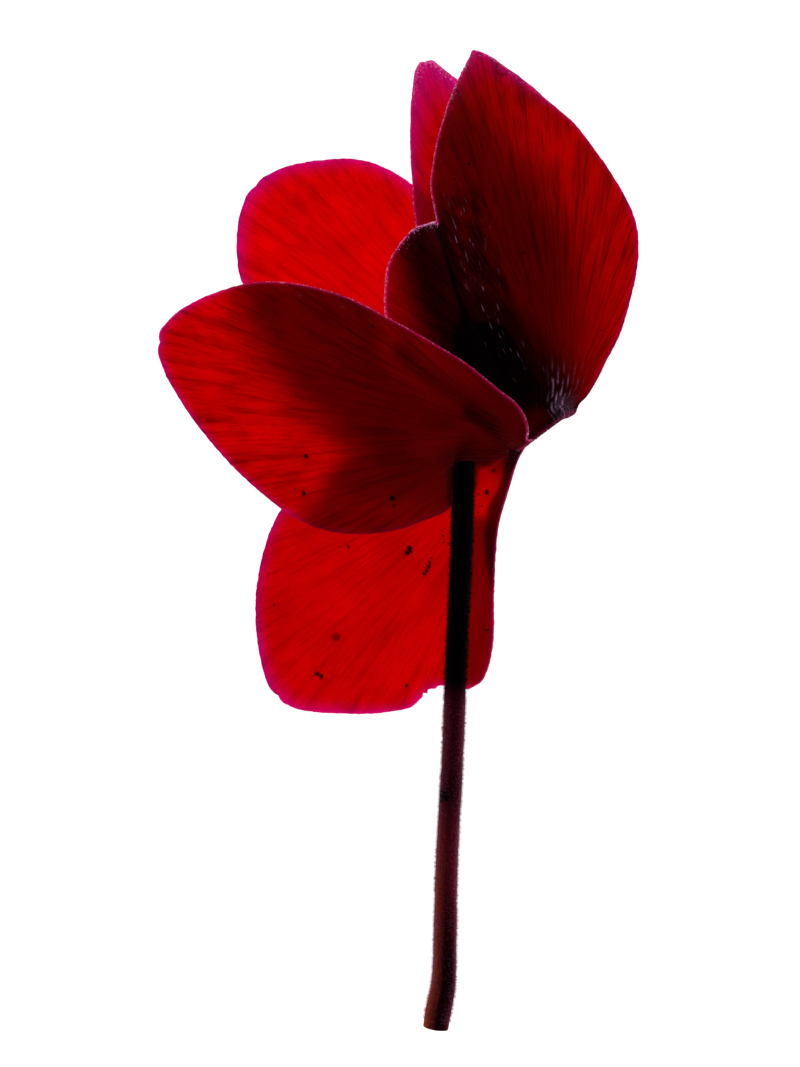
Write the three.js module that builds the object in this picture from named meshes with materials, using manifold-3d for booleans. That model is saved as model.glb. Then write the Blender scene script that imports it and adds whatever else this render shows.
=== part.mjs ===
import * as THREE from "three";
import Module from "manifold-3d";
import { mergeVertices } from "three/addons/utils/BufferGeometryUtils.js";

// A single cut cyclamen flower that lies on a table, in millimetres, +Z up.
// Its stem runs along Y with the cut end at -Y. At the top the stem hooks over, so that the
// flower nods and its mouth points back down the stem, and the five petals fold back from the
// mouth. Two petals arch over the front, two lie on the table behind them and one hangs down
// behind the stem. The flower rests on three petals and on the cut end of the stem.

const wasm = await Module();
wasm.setup();

// ---- driving dimensions -------------------------------------------------------------------

const PETAL_THICKNESS = 0.7;
const FLAT_SPOT_BLEND = 0.6; // how softly a petal turns into its flat spot on the table

const MOUTH_CENTRE = new THREE.Vector3(19.5, 17.3, 19);
const FLOWER_AXIS = new THREE.Vector3(0.6, -0.8, 0); // from the calyx to the mouth

const RIM_RADIUS = 3.4; // the petals' mid-surface, where it leaves the tube
const ROLL_RADIUS = 1.1; // the tight roll that turns each petal back
const PETAL_SPREAD = THREE.MathUtils.degToRad(33); // half of one petal's share of the rim
const RIM_GAP = 0.45;
const ROLL_ROWS = 4;
const CREASE_EDGE = -0.95; // where the lobe is sunk into the blade, near its left edge
const LEAVING_LENGTH = 1; // how far a petal runs straight on, once it has folded back

const TUBE_LENGTH = 7.2;
const TUBE_RADIUS = 3.8;
const TUBE_BORE = 3.0;
const TUBE_BULGE = 0.25;

const SEAT_GAP = 0.3; // between two parts that grow on each other

const SEPAL_COUNT = 5;
const SEPAL_THICKNESS = 0.6;
const SEPAL_RADIUS = TUBE_RADIUS + TUBE_BULGE + SEAT_GAP + SEPAL_THICKNESS / 2;
const SEPAL_LENGTH = 5.2;
const SEPAL_HALF_WIDTH = 2.1;
const SEPAL_FLARE = 0.1;
const SEPAL_TAPER = 2.2;
const SEPAL_TIP_WIDTH = 0.16; // as a share of the whole width
const SEPAL_ROOT_DEPTH = 0.4; // how far a sepal is sunk into the receptacle

// Heights along the flower's axis: 0 at the mouth, negative towards the stem.
const RECEPTACLE_TOP = -TUBE_LENGTH - SEAT_GAP;
const RECEPTACLE_BASE = -9.7;
const RECEPTACLE_PROFILE = [ // radius, height
  [0, RECEPTACLE_BASE], [1.5, RECEPTACLE_BASE], [1.6, -9.2], [2.9, -8.8],
  [SEPAL_RADIUS - 0.3, -8.4], [SEPAL_RADIUS + 0.1, -7.9],
  [SEPAL_RADIUS + 0.1, RECEPTACLE_TOP], [0, RECEPTACLE_TOP],
];
const SEAT = RECEPTACLE_TOP + SEAT_GAP; // where the pistil and the anthers start
const PISTIL_PROFILE = [ // radius, height
  [0, SEAT], [1.1, SEAT], [1.4, -6.5], [1.3, -5.7], [0.7, -4.9],
  [0.35, -4.2], [0.35, 0.2], [0.5, 0.6], [0.3, 0.9], [0, 0.9],
];

const ANTHER_COUNT = 5;
const ANTHER_RING_RADIUS = 2.3;
const ANTHER_RING_WIDTH = 0.75;
const ANTHER_RING_HEIGHT = 0.7;
const ANTHER_TIP = [1.35, -0.9, 0];
const ANTHER_END_RADIUS = 0.35;
const ANTHER_SWELLING = 0.25;

const HOOK_RADIUS = 2.6;
const NECK_LENGTH = 0.5;
const HOOK_STEPS = 6;
const STEM_STEPS = 44;
const STEM_SIDES = 10;
const STEM_GIRTH = [[0, 1.3], [0.1, 1.4], [0.25, 1.5], [0.5, 1.6], [0.9, 1.6], [1, 1.8]]; // share, radius

// ---- the five petals ----------------------------------------------------------------------
//
// station: where the petal stands round the flower's axis, in degrees from the top
// roll:    how far its base folds back, in degrees
// left, middle, right: three lines along the blade, from the fold to the tip. The blade is a
//          smooth trough or arch through them.

const PETALS = {
  petal_front_left: {
    station: -50,
    roll: 145,
    left: [[13.5, 11.7, 21.3], [10.3, 11.6, 22], [7.6, 11.6, 21.6], [6.5, 10.9, 20.5], [6.4, 8.3, 19.5],
      [6.4, 5.1, 19.5], [2.8, 3.1, 21], [-2.1, 1.7, 22.5], [-8.3, 1.6, 24], [-13.8, 3.2, 25],
      [-21.1, 8.8, 26.5], [-27.2, 15.4, 27], [-31.6, 22.4, 26.5], [-32.9, 26.6, 26]],
    middle: [[13.8, 15.6, 24.5], [9, 16.6, 26], [2.8, 16.6, 27.5], [-6.9, 18.2, 29], [-17.9, 21.3, 29],
      [-26.9, 24.5, 28], [-33, 27.4, 26]],
    right: [[16.9, 18.6, 25.5], [13.8, 21.3, 26.5], [8.6, 25.4, 27.5], [1.4, 29.6, 28],
      [-8.3, 34.5, 28.5], [-17.9, 36.2, 28], [-25.5, 34.7, 27], [-30.9, 31.4, 26.5], [-32.8, 28.5, 26]],
    rows: 22,
    columns: 12,
    colour: 0x8c0208,
  },
  petal_front_right: {
    station: 22,
    roll: 172,
    left: [[16.6, 20.2, 25.8], [13.8, 24.1, 27], [11, 28.7, 28.2], [8.5, 33.6, 29], [6.1, 41.4, 29],
      [5.1, 44.1, 28.5], [4.4, 47.5, 27], [4.1, 49.6, 26.5], [5.5, 57.5, 23], [7.7, 64.1, 18],
      [10, 68.3, 15]],
    middle: [[21.1, 22, 26], [20.7, 26.8, 27.5], [20, 32.3, 28.5], [18.9, 41.9, 28.5],
      [16.6, 50.3, 26.5], [13.9, 59.7, 21.5], [10.5, 68.7, 15]],
    right: [[24.4, 19.9, 22.7], [26.4, 22.1, 22], [29.4, 27.7, 22.5], [32.2, 34.2, 22], [33.2, 39.3, 21],
      [32.9, 44.9, 19.5], [30.4, 50.8, 18.5], [27.1, 56.1, 17.5], [23.1, 60.5, 16.5],
      [17.9, 64.6, 15.5], [13.2, 67.7, 15]],
    rows: 20,
    columns: 12,
    colour: 0x6e0408,
    // the lower left of the blade, folded down behind a crease and spread out to the left
    lobe: {
      left: [[5, 44.6, 28.2], [3.5, 44.2, 27], [2.1, 43.9, 25.5], [0, 41.8, 23.5], [-1.7, 38.9, 22.5],
        [-2.2, 35.3, 22], [-2.2, 31.9, 22], [-1.1, 27.7, 22], [2.1, 23.5, 22], [6.9, 20.5, 22.5],
        [11.8, 18.7, 23.6], [15.8, 18.6, 24]],
      middle: [[5, 44.2, 28], [4.4, 43.2, 26], [5, 40.8, 24.5], [6.9, 33.9, 23.2], [8.6, 29.7, 23.5],
        [11.1, 25.5, 24], [13.8, 21.4, 24.6], [16.5, 18.8, 24.4]],
      crease: [0.53, 0.07],
      rows: 14,
      columns: 8,
    },
  },
  petal_back_right: {
    station: 94,
    roll: 172,
    left: [[21.8, 23.8, 20.9], [19.9, 27.6, 20.2], [15.5, 30.3, 18.6], [11.2, 31.2, 17.5], [7, 31.9, 16],
      [3.5, 33.8, 15], [2.5, 38.5, 14.5], [2.2, 44.8, 14], [1.8, 51.2, 13], [1.5, 58.3, 11.5],
      [2.1, 66.7, 9], [2.8, 68.1, 8.5]],
    middle: [[22.1, 23.2, 17], [19.4, 27.3, 13.5], [14.8, 33, 9.5], [11, 41.6, 7], [8.8, 51.7, 5.5],
      [6.8, 61.6, 5], [3.5, 68.3, 8]],
    right: [[23.3, 20.5, 14.5], [22.8, 23.8, 11], [22.1, 28.2, 7.5], [20.6, 34.7, 3.2], [19.3, 41.9, 0.4],
      [17.9, 49.1, -0.7], [16.4, 54.8, -0.7], [15, 61.2, 0.6], [11.1, 64.4, 2.5], [7.5, 65.9, 4.5],
      [4.2, 68.4, 7.5]],
    rows: 20,
    columns: 12,
    colour: 0xb0040c,
  },
  petal_back_left: {
    station: 166,
    roll: 135,
    left: [[20.9, 22.4, 11], [18.4, 28.2, 6.5], [14.9, 36.2, 3], [10, 44, 1.8], [5.7, 47.9, 1.5],
      [-1.1, 52.9, 1.2], [-5.7, 54.5, 1.2], [-10.7, 54.6, 1.2], [-17.8, 52.6, 1.8], [-20.2, 51, 2]],
    middle: [[17.6, 20.1, 10], [12.8, 24.4, 6], [7.1, 29.7, 3], [0, 36.2, 0.6], [-7.9, 42, -0.8],
      [-15, 46.7, -0.4], [-20.9, 50.4, 2]],
    right: [[15.5, 16.4, 10.5], [11.3, 18.3, 7], [4.3, 21.2, 3.5], [-4.3, 25.1, 2], [-12.8, 29.8, 1.4],
      [-19.3, 33.7, 1.2], [-22.4, 37.4, 1.2], [-23, 41.9, 1.5], [-22.5, 46.9, 1.8], [-21.5, 49.7, 2]],
    rows: 18,
    columns: 12,
    colour: 0xd00206,
  },
  petal_lower: {
    station: -122,
    roll: 100,
    left: [[16.6, 12.1, 14.5], [15, 7.6, 13], [13.7, 2.7, 11.5], [13.1, -2.2, 10], [13, -7.9, 8],
      [13, -13.6, 6], [12.5, -17.2, 5], [11.4, -19.6, 4], [8.8, -20.8, 3.5], [6, -20.2, 2.6],
      [3.6, -21.2, 1.8], [1.9, -23, 1], [-2.9, -24, -0.4], [-8.6, -24, -1], [-13.6, -23.3, -0.4],
      [-16.4, -22, 0.8]],
    middle: [[14.7, 11.5, 15.5], [9.8, 8, 13.5], [4.2, 3.4, 11], [-1.1, -3, 8], [-6.4, -10.8, 4.5],
      [-11.7, -17.2, 1.8], [-17, -21.5, 0.8]],
    right: [[13.3, 13.2, 17.5], [10.6, 13.3, 16], [7, 13.6, 15.5], [1, 13.6, 15.5], [-3.9, 13.3, 15],
      [-7.7, 11.8, 14], [-12, 8.3, 12], [-16.2, 5.8, 9], [-18.1, 2, 7], [-19.4, -3, 5],
      [-20.3, -8, 3.5], [-20.2, -13, 2], [-19.3, -17.7, 1], [-17.6, -21, 0.8]],
    rows: 22,
    columns: 14,
    colour: 0xc20206,
  },
};

// ---- the stem's route, from the hook down to the cut end -----------------------------------

const STEM_ROUTE = [
  [8.8, 11.6, 18.8], [8.6, -0.8, 16.2], [7.8, -17.7, 12.6], [7.3, -30.5, 9.9], [6.6, -45.5, 6.7],
  [6.4, -56.2, 4.5], [6.1, -62.8, 3.1], [5.4, -66.6, 2.2], [5.1, -68.9, 1.7],
];

// ---- small helpers --------------------------------------------------------------------------

const clamp01 = (x) => Math.min(1, Math.max(0, x));

// A smooth curve through [station, value] knots, flat at neither end.
function profile(knots) {
  const last = knots.length - 1;
  const slope = (i) => {
    const a = knots[Math.max(0, i - 1)];
    const b = knots[Math.min(last, i + 1)];
    return (b[1] - a[1]) / (b[0] - a[0]);
  };
  return (x) => {
    let i = 0;
    while (i < last - 1 && x > knots[i + 1][0]) i += 1;
    const [x0, y0] = knots[i];
    const [x1, y1] = knots[i + 1];
    const h = x1 - x0;
    const t = clamp01((x - x0) / h);
    const rise = (2 * t - 3) * t * t;
    return y0 * (1 + rise) - y1 * rise
      + h * (slope(i) * t * (1 - t) * (1 - t) - slope(i + 1) * t * t * (1 - t));
  };
}

function meshOf(name, geometry, colour, roughness) {
  const material = new THREE.MeshStandardMaterial({ color: colour, roughness, metalness: 0 });
  const mesh = new THREE.Mesh(geometry, material);
  mesh.name = name;
  return mesh;
}

function geometryFrom(points, triangles) {
  const geometry = new THREE.BufferGeometry();
  const positions = points.flatMap((p) => [p.x, p.y, p.z]);
  geometry.setAttribute("position", new THREE.Float32BufferAttribute(positions, 3));
  geometry.setIndex(triangles.flat());
  geometry.computeVertexNormals();
  return geometry;
}

// A closed thin sheet. `grid` holds rows of mid-surface points. Both faces are split along the
// same diagonals, so that they stay one thickness apart.
function closedSheet(grid, thickness, lowest = -Infinity) {
  const rows = grid.length;
  const columns = grid[0].length;
  const tops = [];
  const bottoms = [];
  for (let i = 0; i < rows; i += 1) {
    for (let j = 0; j < columns; j += 1) {
      const along = grid[Math.min(i + 1, rows - 1)][j].clone().sub(grid[Math.max(i - 1, 0)][j]);
      const across = grid[i][Math.min(j + 1, columns - 1)].clone().sub(grid[i][Math.max(j - 1, 0)]);
      const normal = across.cross(along).normalize().multiplyScalar(thickness / 2);
      tops.push(grid[i][j].clone().add(normal));
      bottoms.push(grid[i][j].clone().sub(normal));
    }
  }
  const points = [...tops, ...bottoms];
  points.forEach((p) => { p.z = Math.max(p.z, lowest); });

  const at = (i, j) => i * columns + j;
  const under = tops.length;
  const triangles = [];
  for (let i = 0; i < rows - 1; i += 1) {
    for (let j = 0; j < columns - 1; j += 1) {
      const [a, b, c, d] = [at(i, j), at(i, j + 1), at(i + 1, j + 1), at(i + 1, j)];
      triangles.push([a, b, c], [a, c, d]);
      triangles.push([a + under, c + under, b + under], [a + under, d + under, c + under]);
    }
  }
  const rim = [];
  for (let j = 0; j < columns - 1; j += 1) rim.push([at(0, j), at(0, j + 1)]);
  for (let i = 0; i < rows - 1; i += 1) rim.push([at(i, columns - 1), at(i + 1, columns - 1)]);
  for (let j = columns - 1; j > 0; j -= 1) rim.push([at(rows - 1, j), at(rows - 1, j - 1)]);
  for (let i = rows - 1; i > 0; i -= 1) rim.push([at(i, 0), at(i - 1, 0)]);
  rim.forEach(([p, q]) => triangles.push([q, p, p + under], [q, p + under, q + under]));
  return geometryFrom(points, triangles);
}

// A round rod along a curve, whose radius follows `radiusAt`, closed by a flat cap at each end.
function rod(curve, radiusAt, steps, sides, lowest = -Infinity) {
  const frames = curve.computeFrenetFrames(steps, false);
  const points = [];
  for (let i = 0; i <= steps; i += 1) {
    const centre = curve.getPointAt(i / steps);
    const radius = radiusAt(i / steps);
    for (let k = 0; k < sides; k += 1) {
      const angle = (2 * Math.PI * k) / sides;
      points.push(centre.clone()
        .addScaledVector(frames.normals[i], radius * Math.cos(angle))
        .addScaledVector(frames.binormals[i], radius * Math.sin(angle)));
    }
  }
  const triangles = [];
  for (let i = 0; i < steps; i += 1) {
    for (let k = 0; k < sides; k += 1) {
      const next = (k + 1) % sides;
      const [a, b] = [i * sides + k, i * sides + next];
      triangles.push([a, b, b + sides], [a, b + sides, a + sides]);
    }
  }
  const start = points.push(curve.getPointAt(0)) - 1;
  const end = points.push(curve.getPointAt(1)) - 1;
  points.forEach((p) => { p.z = Math.max(p.z, lowest); });
  const lastRing = steps * sides;
  for (let k = 0; k < sides; k += 1) {
    const next = (k + 1) % sides;
    triangles.push([start, next, k], [end, lastRing + k, lastRing + next]);
  }
  return geometryFrom(points, triangles);
}

function solidOf(geometry) {
  const bare = geometry.clone();
  bare.deleteAttribute("normal");
  bare.deleteAttribute("uv");
  const merged = mergeVertices(bare, 1e-4);
  return new wasm.Manifold(new wasm.Mesh({
    numProp: 3,
    vertProperties: new Float32Array(merged.attributes.position.array),
    triVerts: new Uint32Array(merged.index.array),
  }));
}

function joined(geometries) {
  const [first, ...others] = geometries.map(solidOf);
  const whole = others.reduce((sum, solid) => sum.add(solid), first);
  const mesh = whole.getMesh();
  const geometry = new THREE.BufferGeometry();
  geometry.setAttribute("position", new THREE.Float32BufferAttribute(mesh.vertProperties, 3));
  geometry.setIndex(Array.from(mesh.triVerts));
  geometry.computeVertexNormals();
  return geometry;
}

// ---- petals -----------------------------------------------------------------------------------

const UP = new THREE.Vector3(0, 0, 1);
const SIDE = UP.clone().cross(FLOWER_AXIS);

// Outward from the flower's axis, at an angle from the top.
function outward(angle) {
  return UP.clone().multiplyScalar(Math.cos(angle)).addScaledVector(SIDE, Math.sin(angle));
}

// The base of a petal rolls out of the mouth and back, as part of a ring round the axis.
function rolledBase(petal, turn, spread) {
  const angle = THREE.MathUtils.degToRad(petal.station) + spread;
  const radius = RIM_RADIUS + ROLL_RADIUS * (1 - Math.cos(turn));
  return MOUTH_CENTRE.clone()
    .addScaledVector(FLOWER_AXIS, RIM_GAP + ROLL_RADIUS * Math.sin(turn))
    .addScaledVector(outward(angle), radius);
}

// A line along a blade, which leaves the rolled base smoothly where the petal has one.
function lineAlong(points, petal, side) {
  const route = points.map((p) => new THREE.Vector3(...p));
  if (petal) {
    const roll = THREE.MathUtils.degToRad(petal.roll);
    const spread = side * PETAL_SPREAD;
    const start = rolledBase(petal, roll, spread);
    const out = outward(THREE.MathUtils.degToRad(petal.station) + spread);
    const leaving = FLOWER_AXIS.clone().multiplyScalar(Math.cos(roll))
      .addScaledVector(out, Math.sin(roll));
    route.unshift(start, start.clone().addScaledVector(leaving, LEAVING_LENGTH));
  }
  const curve = new THREE.CatmullRomCurve3(route, false, "centripetal");
  curve.arcLengthDivisions = 400;
  return curve;
}

// A point of the blade, at u from base to tip and v from -1 at the left edge to 1 at the right.
function bladePoint(lines, u, v) {
  const [left, middle, right] = lines.map((line) => line.getPointAt(u));
  return left.multiplyScalar((v * (v - 1)) / 2)
    .addScaledVector(middle, 1 - v * v)
    .addScaledVector(right, (v * (v + 1)) / 2);
}

function gridOf(lines, shape) {
  return Array.from({ length: shape.rows + 1 }, (_, i) => (
    columnsOf(shape).map((v) => restOnTable(bladePoint(lines, i / shape.rows, v)))));
}

function columnsOf(shape) {
  return Array.from({ length: shape.columns + 1 }, (_, j) => (2 * j) / shape.columns - 1);
}

// A blade that comes down to the table lies flat on it.
function restOnTable(point) {
  const lowest = PETAL_THICKNESS / 2;
  const above = point.z - lowest;
  const blend = FLAT_SPOT_BLEND;
  if (above < -blend) point.z = lowest;
  else if (above < blend) point.z = lowest + (above + blend) ** 2 / (4 * blend);
  return point;
}

function petalGeometry(petal) {
  const roll = THREE.MathUtils.degToRad(petal.roll);
  const lines = [lineAlong(petal.left, petal, -1), lineAlong(petal.middle, petal, 0),
    lineAlong(petal.right, petal, 1)];
  const base = Array.from({ length: ROLL_ROWS }, (_, i) => (
    columnsOf(petal).map((v) => rolledBase(petal, (roll * i) / ROLL_ROWS, v * PETAL_SPREAD))));
  const blade = closedSheet([...base, ...gridOf(lines, petal)], PETAL_THICKNESS, 0);
  if (!petal.lobe) return blade;

  const [from, to] = petal.lobe.crease;
  const alongCrease = (s) => bladePoint(lines, THREE.MathUtils.lerp(from, to, s), CREASE_EDGE);
  const crease = { getPointAt: alongCrease };
  const lobeLines = [lineAlong(petal.lobe.left), lineAlong(petal.lobe.middle), crease];
  return joined([blade, closedSheet(gridOf(lobeLines, petal.lobe), PETAL_THICKNESS, 0)]);
}

// ---- tube, calyx, pistil and anthers, all round the flower's axis ------------------------------
// In their own frame the axis is +Y, the mouth is at y = 0 and the calyx lies below it.

function latheOf(profilePoints, segments) {
  return new THREE.LatheGeometry(profilePoints.map(([r, y]) => new THREE.Vector2(r, y)), segments);
}

function corollaTube() {
  const middle = -TUBE_LENGTH / 2;
  return latheOf([
    [TUBE_BORE, 0], [TUBE_RADIUS, 0],
    [TUBE_RADIUS + TUBE_BULGE, middle], [TUBE_RADIUS, -TUBE_LENGTH],
    [TUBE_BORE, -TUBE_LENGTH], [TUBE_BORE + TUBE_BULGE, middle], [TUBE_BORE, 0],
  ].reverse(), 28);
}

// One sepal: a pointed strip that leaves the receptacle and lies along the tube.
function sepal(angle) {
  const rows = 8;
  const columns = 6;
  const grid = [];
  for (let i = 0; i <= rows; i += 1) {
    const s = i / rows;
    const radius = SEPAL_RADIUS + SEPAL_FLARE * s * s;
    const height = RECEPTACLE_TOP - SEPAL_ROOT_DEPTH + SEPAL_LENGTH * s;
    const taper = Math.max(SEPAL_TIP_WIDTH, Math.sqrt(1 - s ** SEPAL_TAPER));
    const halfAngle = (SEPAL_HALF_WIDTH / SEPAL_RADIUS) * taper;
    grid.push(Array.from({ length: columns + 1 }, (_, j) => {
      const turn = angle - halfAngle * ((2 * j) / columns - 1);
      return new THREE.Vector3(radius * Math.cos(turn), height, radius * Math.sin(turn));
    }));
  }
  return closedSheet(grid, SEPAL_THICKNESS);
}

function calyx() {
  const receptacle = latheOf(RECEPTACLE_PROFILE, 24);
  const turnOf = (k) => (2 * Math.PI * (k + 0.5)) / SEPAL_COUNT;
  const sepals = Array.from({ length: SEPAL_COUNT }, (_, k) => sepal(turnOf(k)));
  return joined([receptacle, ...sepals]);
}

function pistil() {
  return latheOf(PISTIL_PROFILE, 14);
}

// Five slim anthers lean together into a cone round the style, on a ring round the ovary.
function antherCone() {
  const inner = ANTHER_RING_RADIUS - ANTHER_RING_WIDTH / 2;
  const outer = ANTHER_RING_RADIUS + ANTHER_RING_WIDTH / 2;
  const top = SEAT + ANTHER_RING_HEIGHT;
  const ring = latheOf([[inner, SEAT], [outer, SEAT], [outer, top], [inner, top], [inner, SEAT]], 20);
  const base = new THREE.Vector3(ANTHER_RING_RADIUS, SEAT + ANTHER_RING_HEIGHT / 2, 0);
  const tip = new THREE.Vector3(...ANTHER_TIP);
  const radiusAt = (s) => ANTHER_END_RADIUS + ANTHER_SWELLING * Math.sin(Math.PI * s);
  const anthers = Array.from({ length: ANTHER_COUNT }, (_, k) => {
    const turn = (2 * Math.PI * k) / ANTHER_COUNT;
    const ends = [base, base.clone().lerp(tip, 0.5), tip]
      .map((p) => p.clone().applyAxisAngle(new THREE.Vector3(0, 1, 0), turn));
    return rod(new THREE.CatmullRomCurve3(ends), radiusAt, 6, 6);
  });
  return joined([ring, ...anthers]);
}

// ---- stem -----------------------------------------------------------------------------------------

function stem() {
  const neck = MOUTH_CENTRE.clone().addScaledVector(FLOWER_AXIS, RECEPTACLE_BASE - SEAT_GAP);
  const hookStart = neck.clone().addScaledVector(FLOWER_AXIS, -NECK_LENGTH);
  const hookCentre = hookStart.clone().addScaledVector(SIDE, -HOOK_RADIUS);
  const fullTurn = Math.PI - Math.acos(-FLOWER_AXIS.y);
  const route = [neck];
  for (let i = 0; i <= HOOK_STEPS; i += 1) {
    const angle = (fullTurn * i) / HOOK_STEPS;
    route.push(hookCentre.clone()
      .addScaledVector(SIDE, HOOK_RADIUS * Math.cos(angle))
      .addScaledVector(FLOWER_AXIS, -HOOK_RADIUS * Math.sin(angle)));
  }
  STEM_ROUTE.forEach((p) => route.push(new THREE.Vector3(...p)));
  const curve = new THREE.CatmullRomCurve3(route, false, "centripetal");
  curve.arcLengthDivisions = 800;
  return rod(curve, profile(STEM_GIRTH), STEM_STEPS, STEM_SIDES, 0);
}

// ---- the whole flower -------------------------------------------------------------------------------

const flower = new THREE.Group();

const head = new THREE.Group();
head.position.copy(MOUTH_CENTRE);
head.quaternion.setFromUnitVectors(new THREE.Vector3(0, 1, 0), FLOWER_AXIS);
head.add(meshOf("corolla_tube", corollaTube(), 0x3a0410, 0.6));
head.add(meshOf("calyx", calyx(), 0x2c1418, 0.7));
head.add(meshOf("pistil", pistil(), 0x6a2438, 0.55));
head.add(meshOf("anther_cone", antherCone(), 0x9a7a20, 0.7));
flower.add(head);

Object.entries(PETALS).forEach(([name, petal]) => {
  flower.add(meshOf(name, petalGeometry(petal), petal.colour, 0.55));
});

flower.add(meshOf("stem", stem(), 0x2a060c, 0.65));

export default flower;
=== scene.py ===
"""A single cut cyclamen flower that lies on a pale light table, seen from straight above.

The bloom nods: its tube opens back down the stem, and five petals fold back from the mouth.
Two petals arch over the front, two lie on the table behind them and one hangs behind the stem.
All sizes are in millimetres until a mesh is made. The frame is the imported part's own: +Z up,
+Y along the stem towards the bloom.
"""

from __future__ import annotations

import logging
import math
from dataclasses import dataclass, field
from enum import Enum
from functools import reduce

import bpy
import numpy as np
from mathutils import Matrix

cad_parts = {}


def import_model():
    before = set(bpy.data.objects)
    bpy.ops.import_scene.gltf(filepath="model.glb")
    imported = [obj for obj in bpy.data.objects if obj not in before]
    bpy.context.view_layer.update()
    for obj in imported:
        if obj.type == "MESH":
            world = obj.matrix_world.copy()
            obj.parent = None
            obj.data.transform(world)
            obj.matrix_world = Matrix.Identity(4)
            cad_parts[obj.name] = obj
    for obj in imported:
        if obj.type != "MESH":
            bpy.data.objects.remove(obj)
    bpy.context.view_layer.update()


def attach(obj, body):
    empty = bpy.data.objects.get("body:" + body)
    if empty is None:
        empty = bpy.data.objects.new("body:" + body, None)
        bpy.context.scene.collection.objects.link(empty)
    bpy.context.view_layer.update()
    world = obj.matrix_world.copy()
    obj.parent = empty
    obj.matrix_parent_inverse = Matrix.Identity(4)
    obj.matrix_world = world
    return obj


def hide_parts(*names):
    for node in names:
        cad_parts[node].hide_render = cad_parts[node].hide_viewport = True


log = logging.getLogger("cyclamen")

MM = 0.001
UP = np.array([0.0, 0.0, 1.0])
MOUTH = np.array([19.5, 17.3, 19.0])  # the centre of the tube's mouth
AXIS = np.array([0.6, -0.8, 0.0])  # the flower's axis, from the calyx to the mouth
SIDE = np.array([0.8, 0.6, 0.0])  # level, and square to the axis
EYE_HEIGHT = 800.0  # of the eye that petals' outlines and shades are given for, and the camera
EYE_Y = 1.5
POLE = 0.02  # how near its axis a turned solid closes
# The values kept at a petal's points, among them painted shade, a painted glow and painted
# highlights.
PETAL_VALUES = ("fan", "away", "behind", "glint_zone", "rim_highlight", "mottle", "pleat", "painted_glow", "dark_base_and_shade",
                "blush", "across", "along")
STALK_VALUES = ("along", "turn", "flank", "sawn")

Colour = tuple[float, float, float]
Range = tuple[float, float]  # where something begins and where it is full, or its two ends
Points = tuple[tuple[float, float, float], ...]
FlatPoints = tuple[tuple[float, float], ...]
Shape = tuple[np.ndarray, list[np.ndarray]]  # points, and groups of faces that count them


class Slot(Enum):
    """The record's material slots."""

    PETAL = "petal"
    STEM = "stem"
    CALYX = "calyx"
    TUBE = "tube"
    PISTIL = "pistil"
    ANTHERS = "anthers"


# ---- numbers on grids -----------------------------------------------------------------------


def unit(vectors: np.ndarray) -> np.ndarray:
    """Vectors along the last axis, each made one long."""
    return vectors / np.maximum(np.linalg.norm(vectors, axis=-1, keepdims=True), 1e-9)


def ease(low: float, high: float, x: np.ndarray) -> np.ndarray:
    """0 at low, 1 at high and a smooth cubic step between them, either way round."""
    t = np.clip((x - low) / (high - low), 0.0, 1.0)
    return t * t * (3.0 - 2.0 * t)


def bell(x: np.ndarray, centre: float, width: float) -> np.ndarray:
    """A bell curve: 1 at the centre, and e to the -1 a width from it."""
    return np.exp(-(((x - centre) / width) ** 2))


def line_through(points: np.ndarray, shares: np.ndarray) -> np.ndarray:
    """Points on the smooth line through some points.

    The line is a centripetal Catmull-Rom curve: each span is a cubic whose end slopes come from
    its neighbours, weighed by the square root of their distance.

    Args:
        points: the points to pass through, one a row.
        shares: where to read the line, as shares of its length.

    Returns:
        One point for each share.
    """
    padded = np.vstack([2 * points[0] - points[1], points, 2 * points[-1] - points[-2]])
    spans = len(points) - 1

    def read(t: np.ndarray) -> np.ndarray:
        """The line's points.

        Args:
            t: where to read it, in spans from its start.

        Returns:
            One point for each place.
        """
        i = np.minimum(t.astype(int), spans - 1)
        w = (t - i)[:, None]
        a, b, c, d = (padded[i + k] for k in range(4))
        before, here, after = (
            np.maximum(np.sqrt(np.linalg.norm(q - p, axis=1, keepdims=True)), 1e-4)
            for p, q in ((a, b), (b, c), (c, d))
        )
        slope_b = ((b - a) / before - (c - a) / (before + here) + (c - b) / here) * here
        slope_c = ((c - b) / here - (d - b) / (here + after) + (d - c) / after) * here
        square = -3 * b + 3 * c - 2 * slope_b - slope_c
        cube = 2 * b - 2 * c + slope_b + slope_c
        return b + w * (slope_b + w * (square + w * cube))

    steps = np.linspace(0.0, spans, 401)
    lengths = np.linalg.norm(np.diff(read(steps), axis=0), axis=1)
    travelled = np.concatenate([[0.0], np.cumsum(lengths)])
    return read(np.interp(shares * travelled[-1], travelled, steps))


def across_three(lines: list[np.ndarray], v: np.ndarray) -> np.ndarray:
    """The surface across three lines, a parabola through the three at every row.

    Args:
        lines: the lines at -1, 0 and 1, each with one point a row.
        v: the places across.

    Returns:
        The points, rows by places.
    """
    left, middle, right = (line[:, None] for line in lines)
    w = v[None, :, None]
    return left * w * (w - 1) / 2 + middle * (1 - w * w) + right * w * (w + 1) / 2


def as_seen(points: np.ndarray) -> np.ndarray:
    """Where points show on the table, to an eye high above the flower.

    Args:
        points: the points.

    Returns:
        X and Y for each point.
    """
    scale = EYE_HEIGHT / (EYE_HEIGHT - points[..., 2:3])
    centre = np.array([0.0, EYE_Y])
    return (points[..., :2] - centre) * scale + centre


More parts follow.
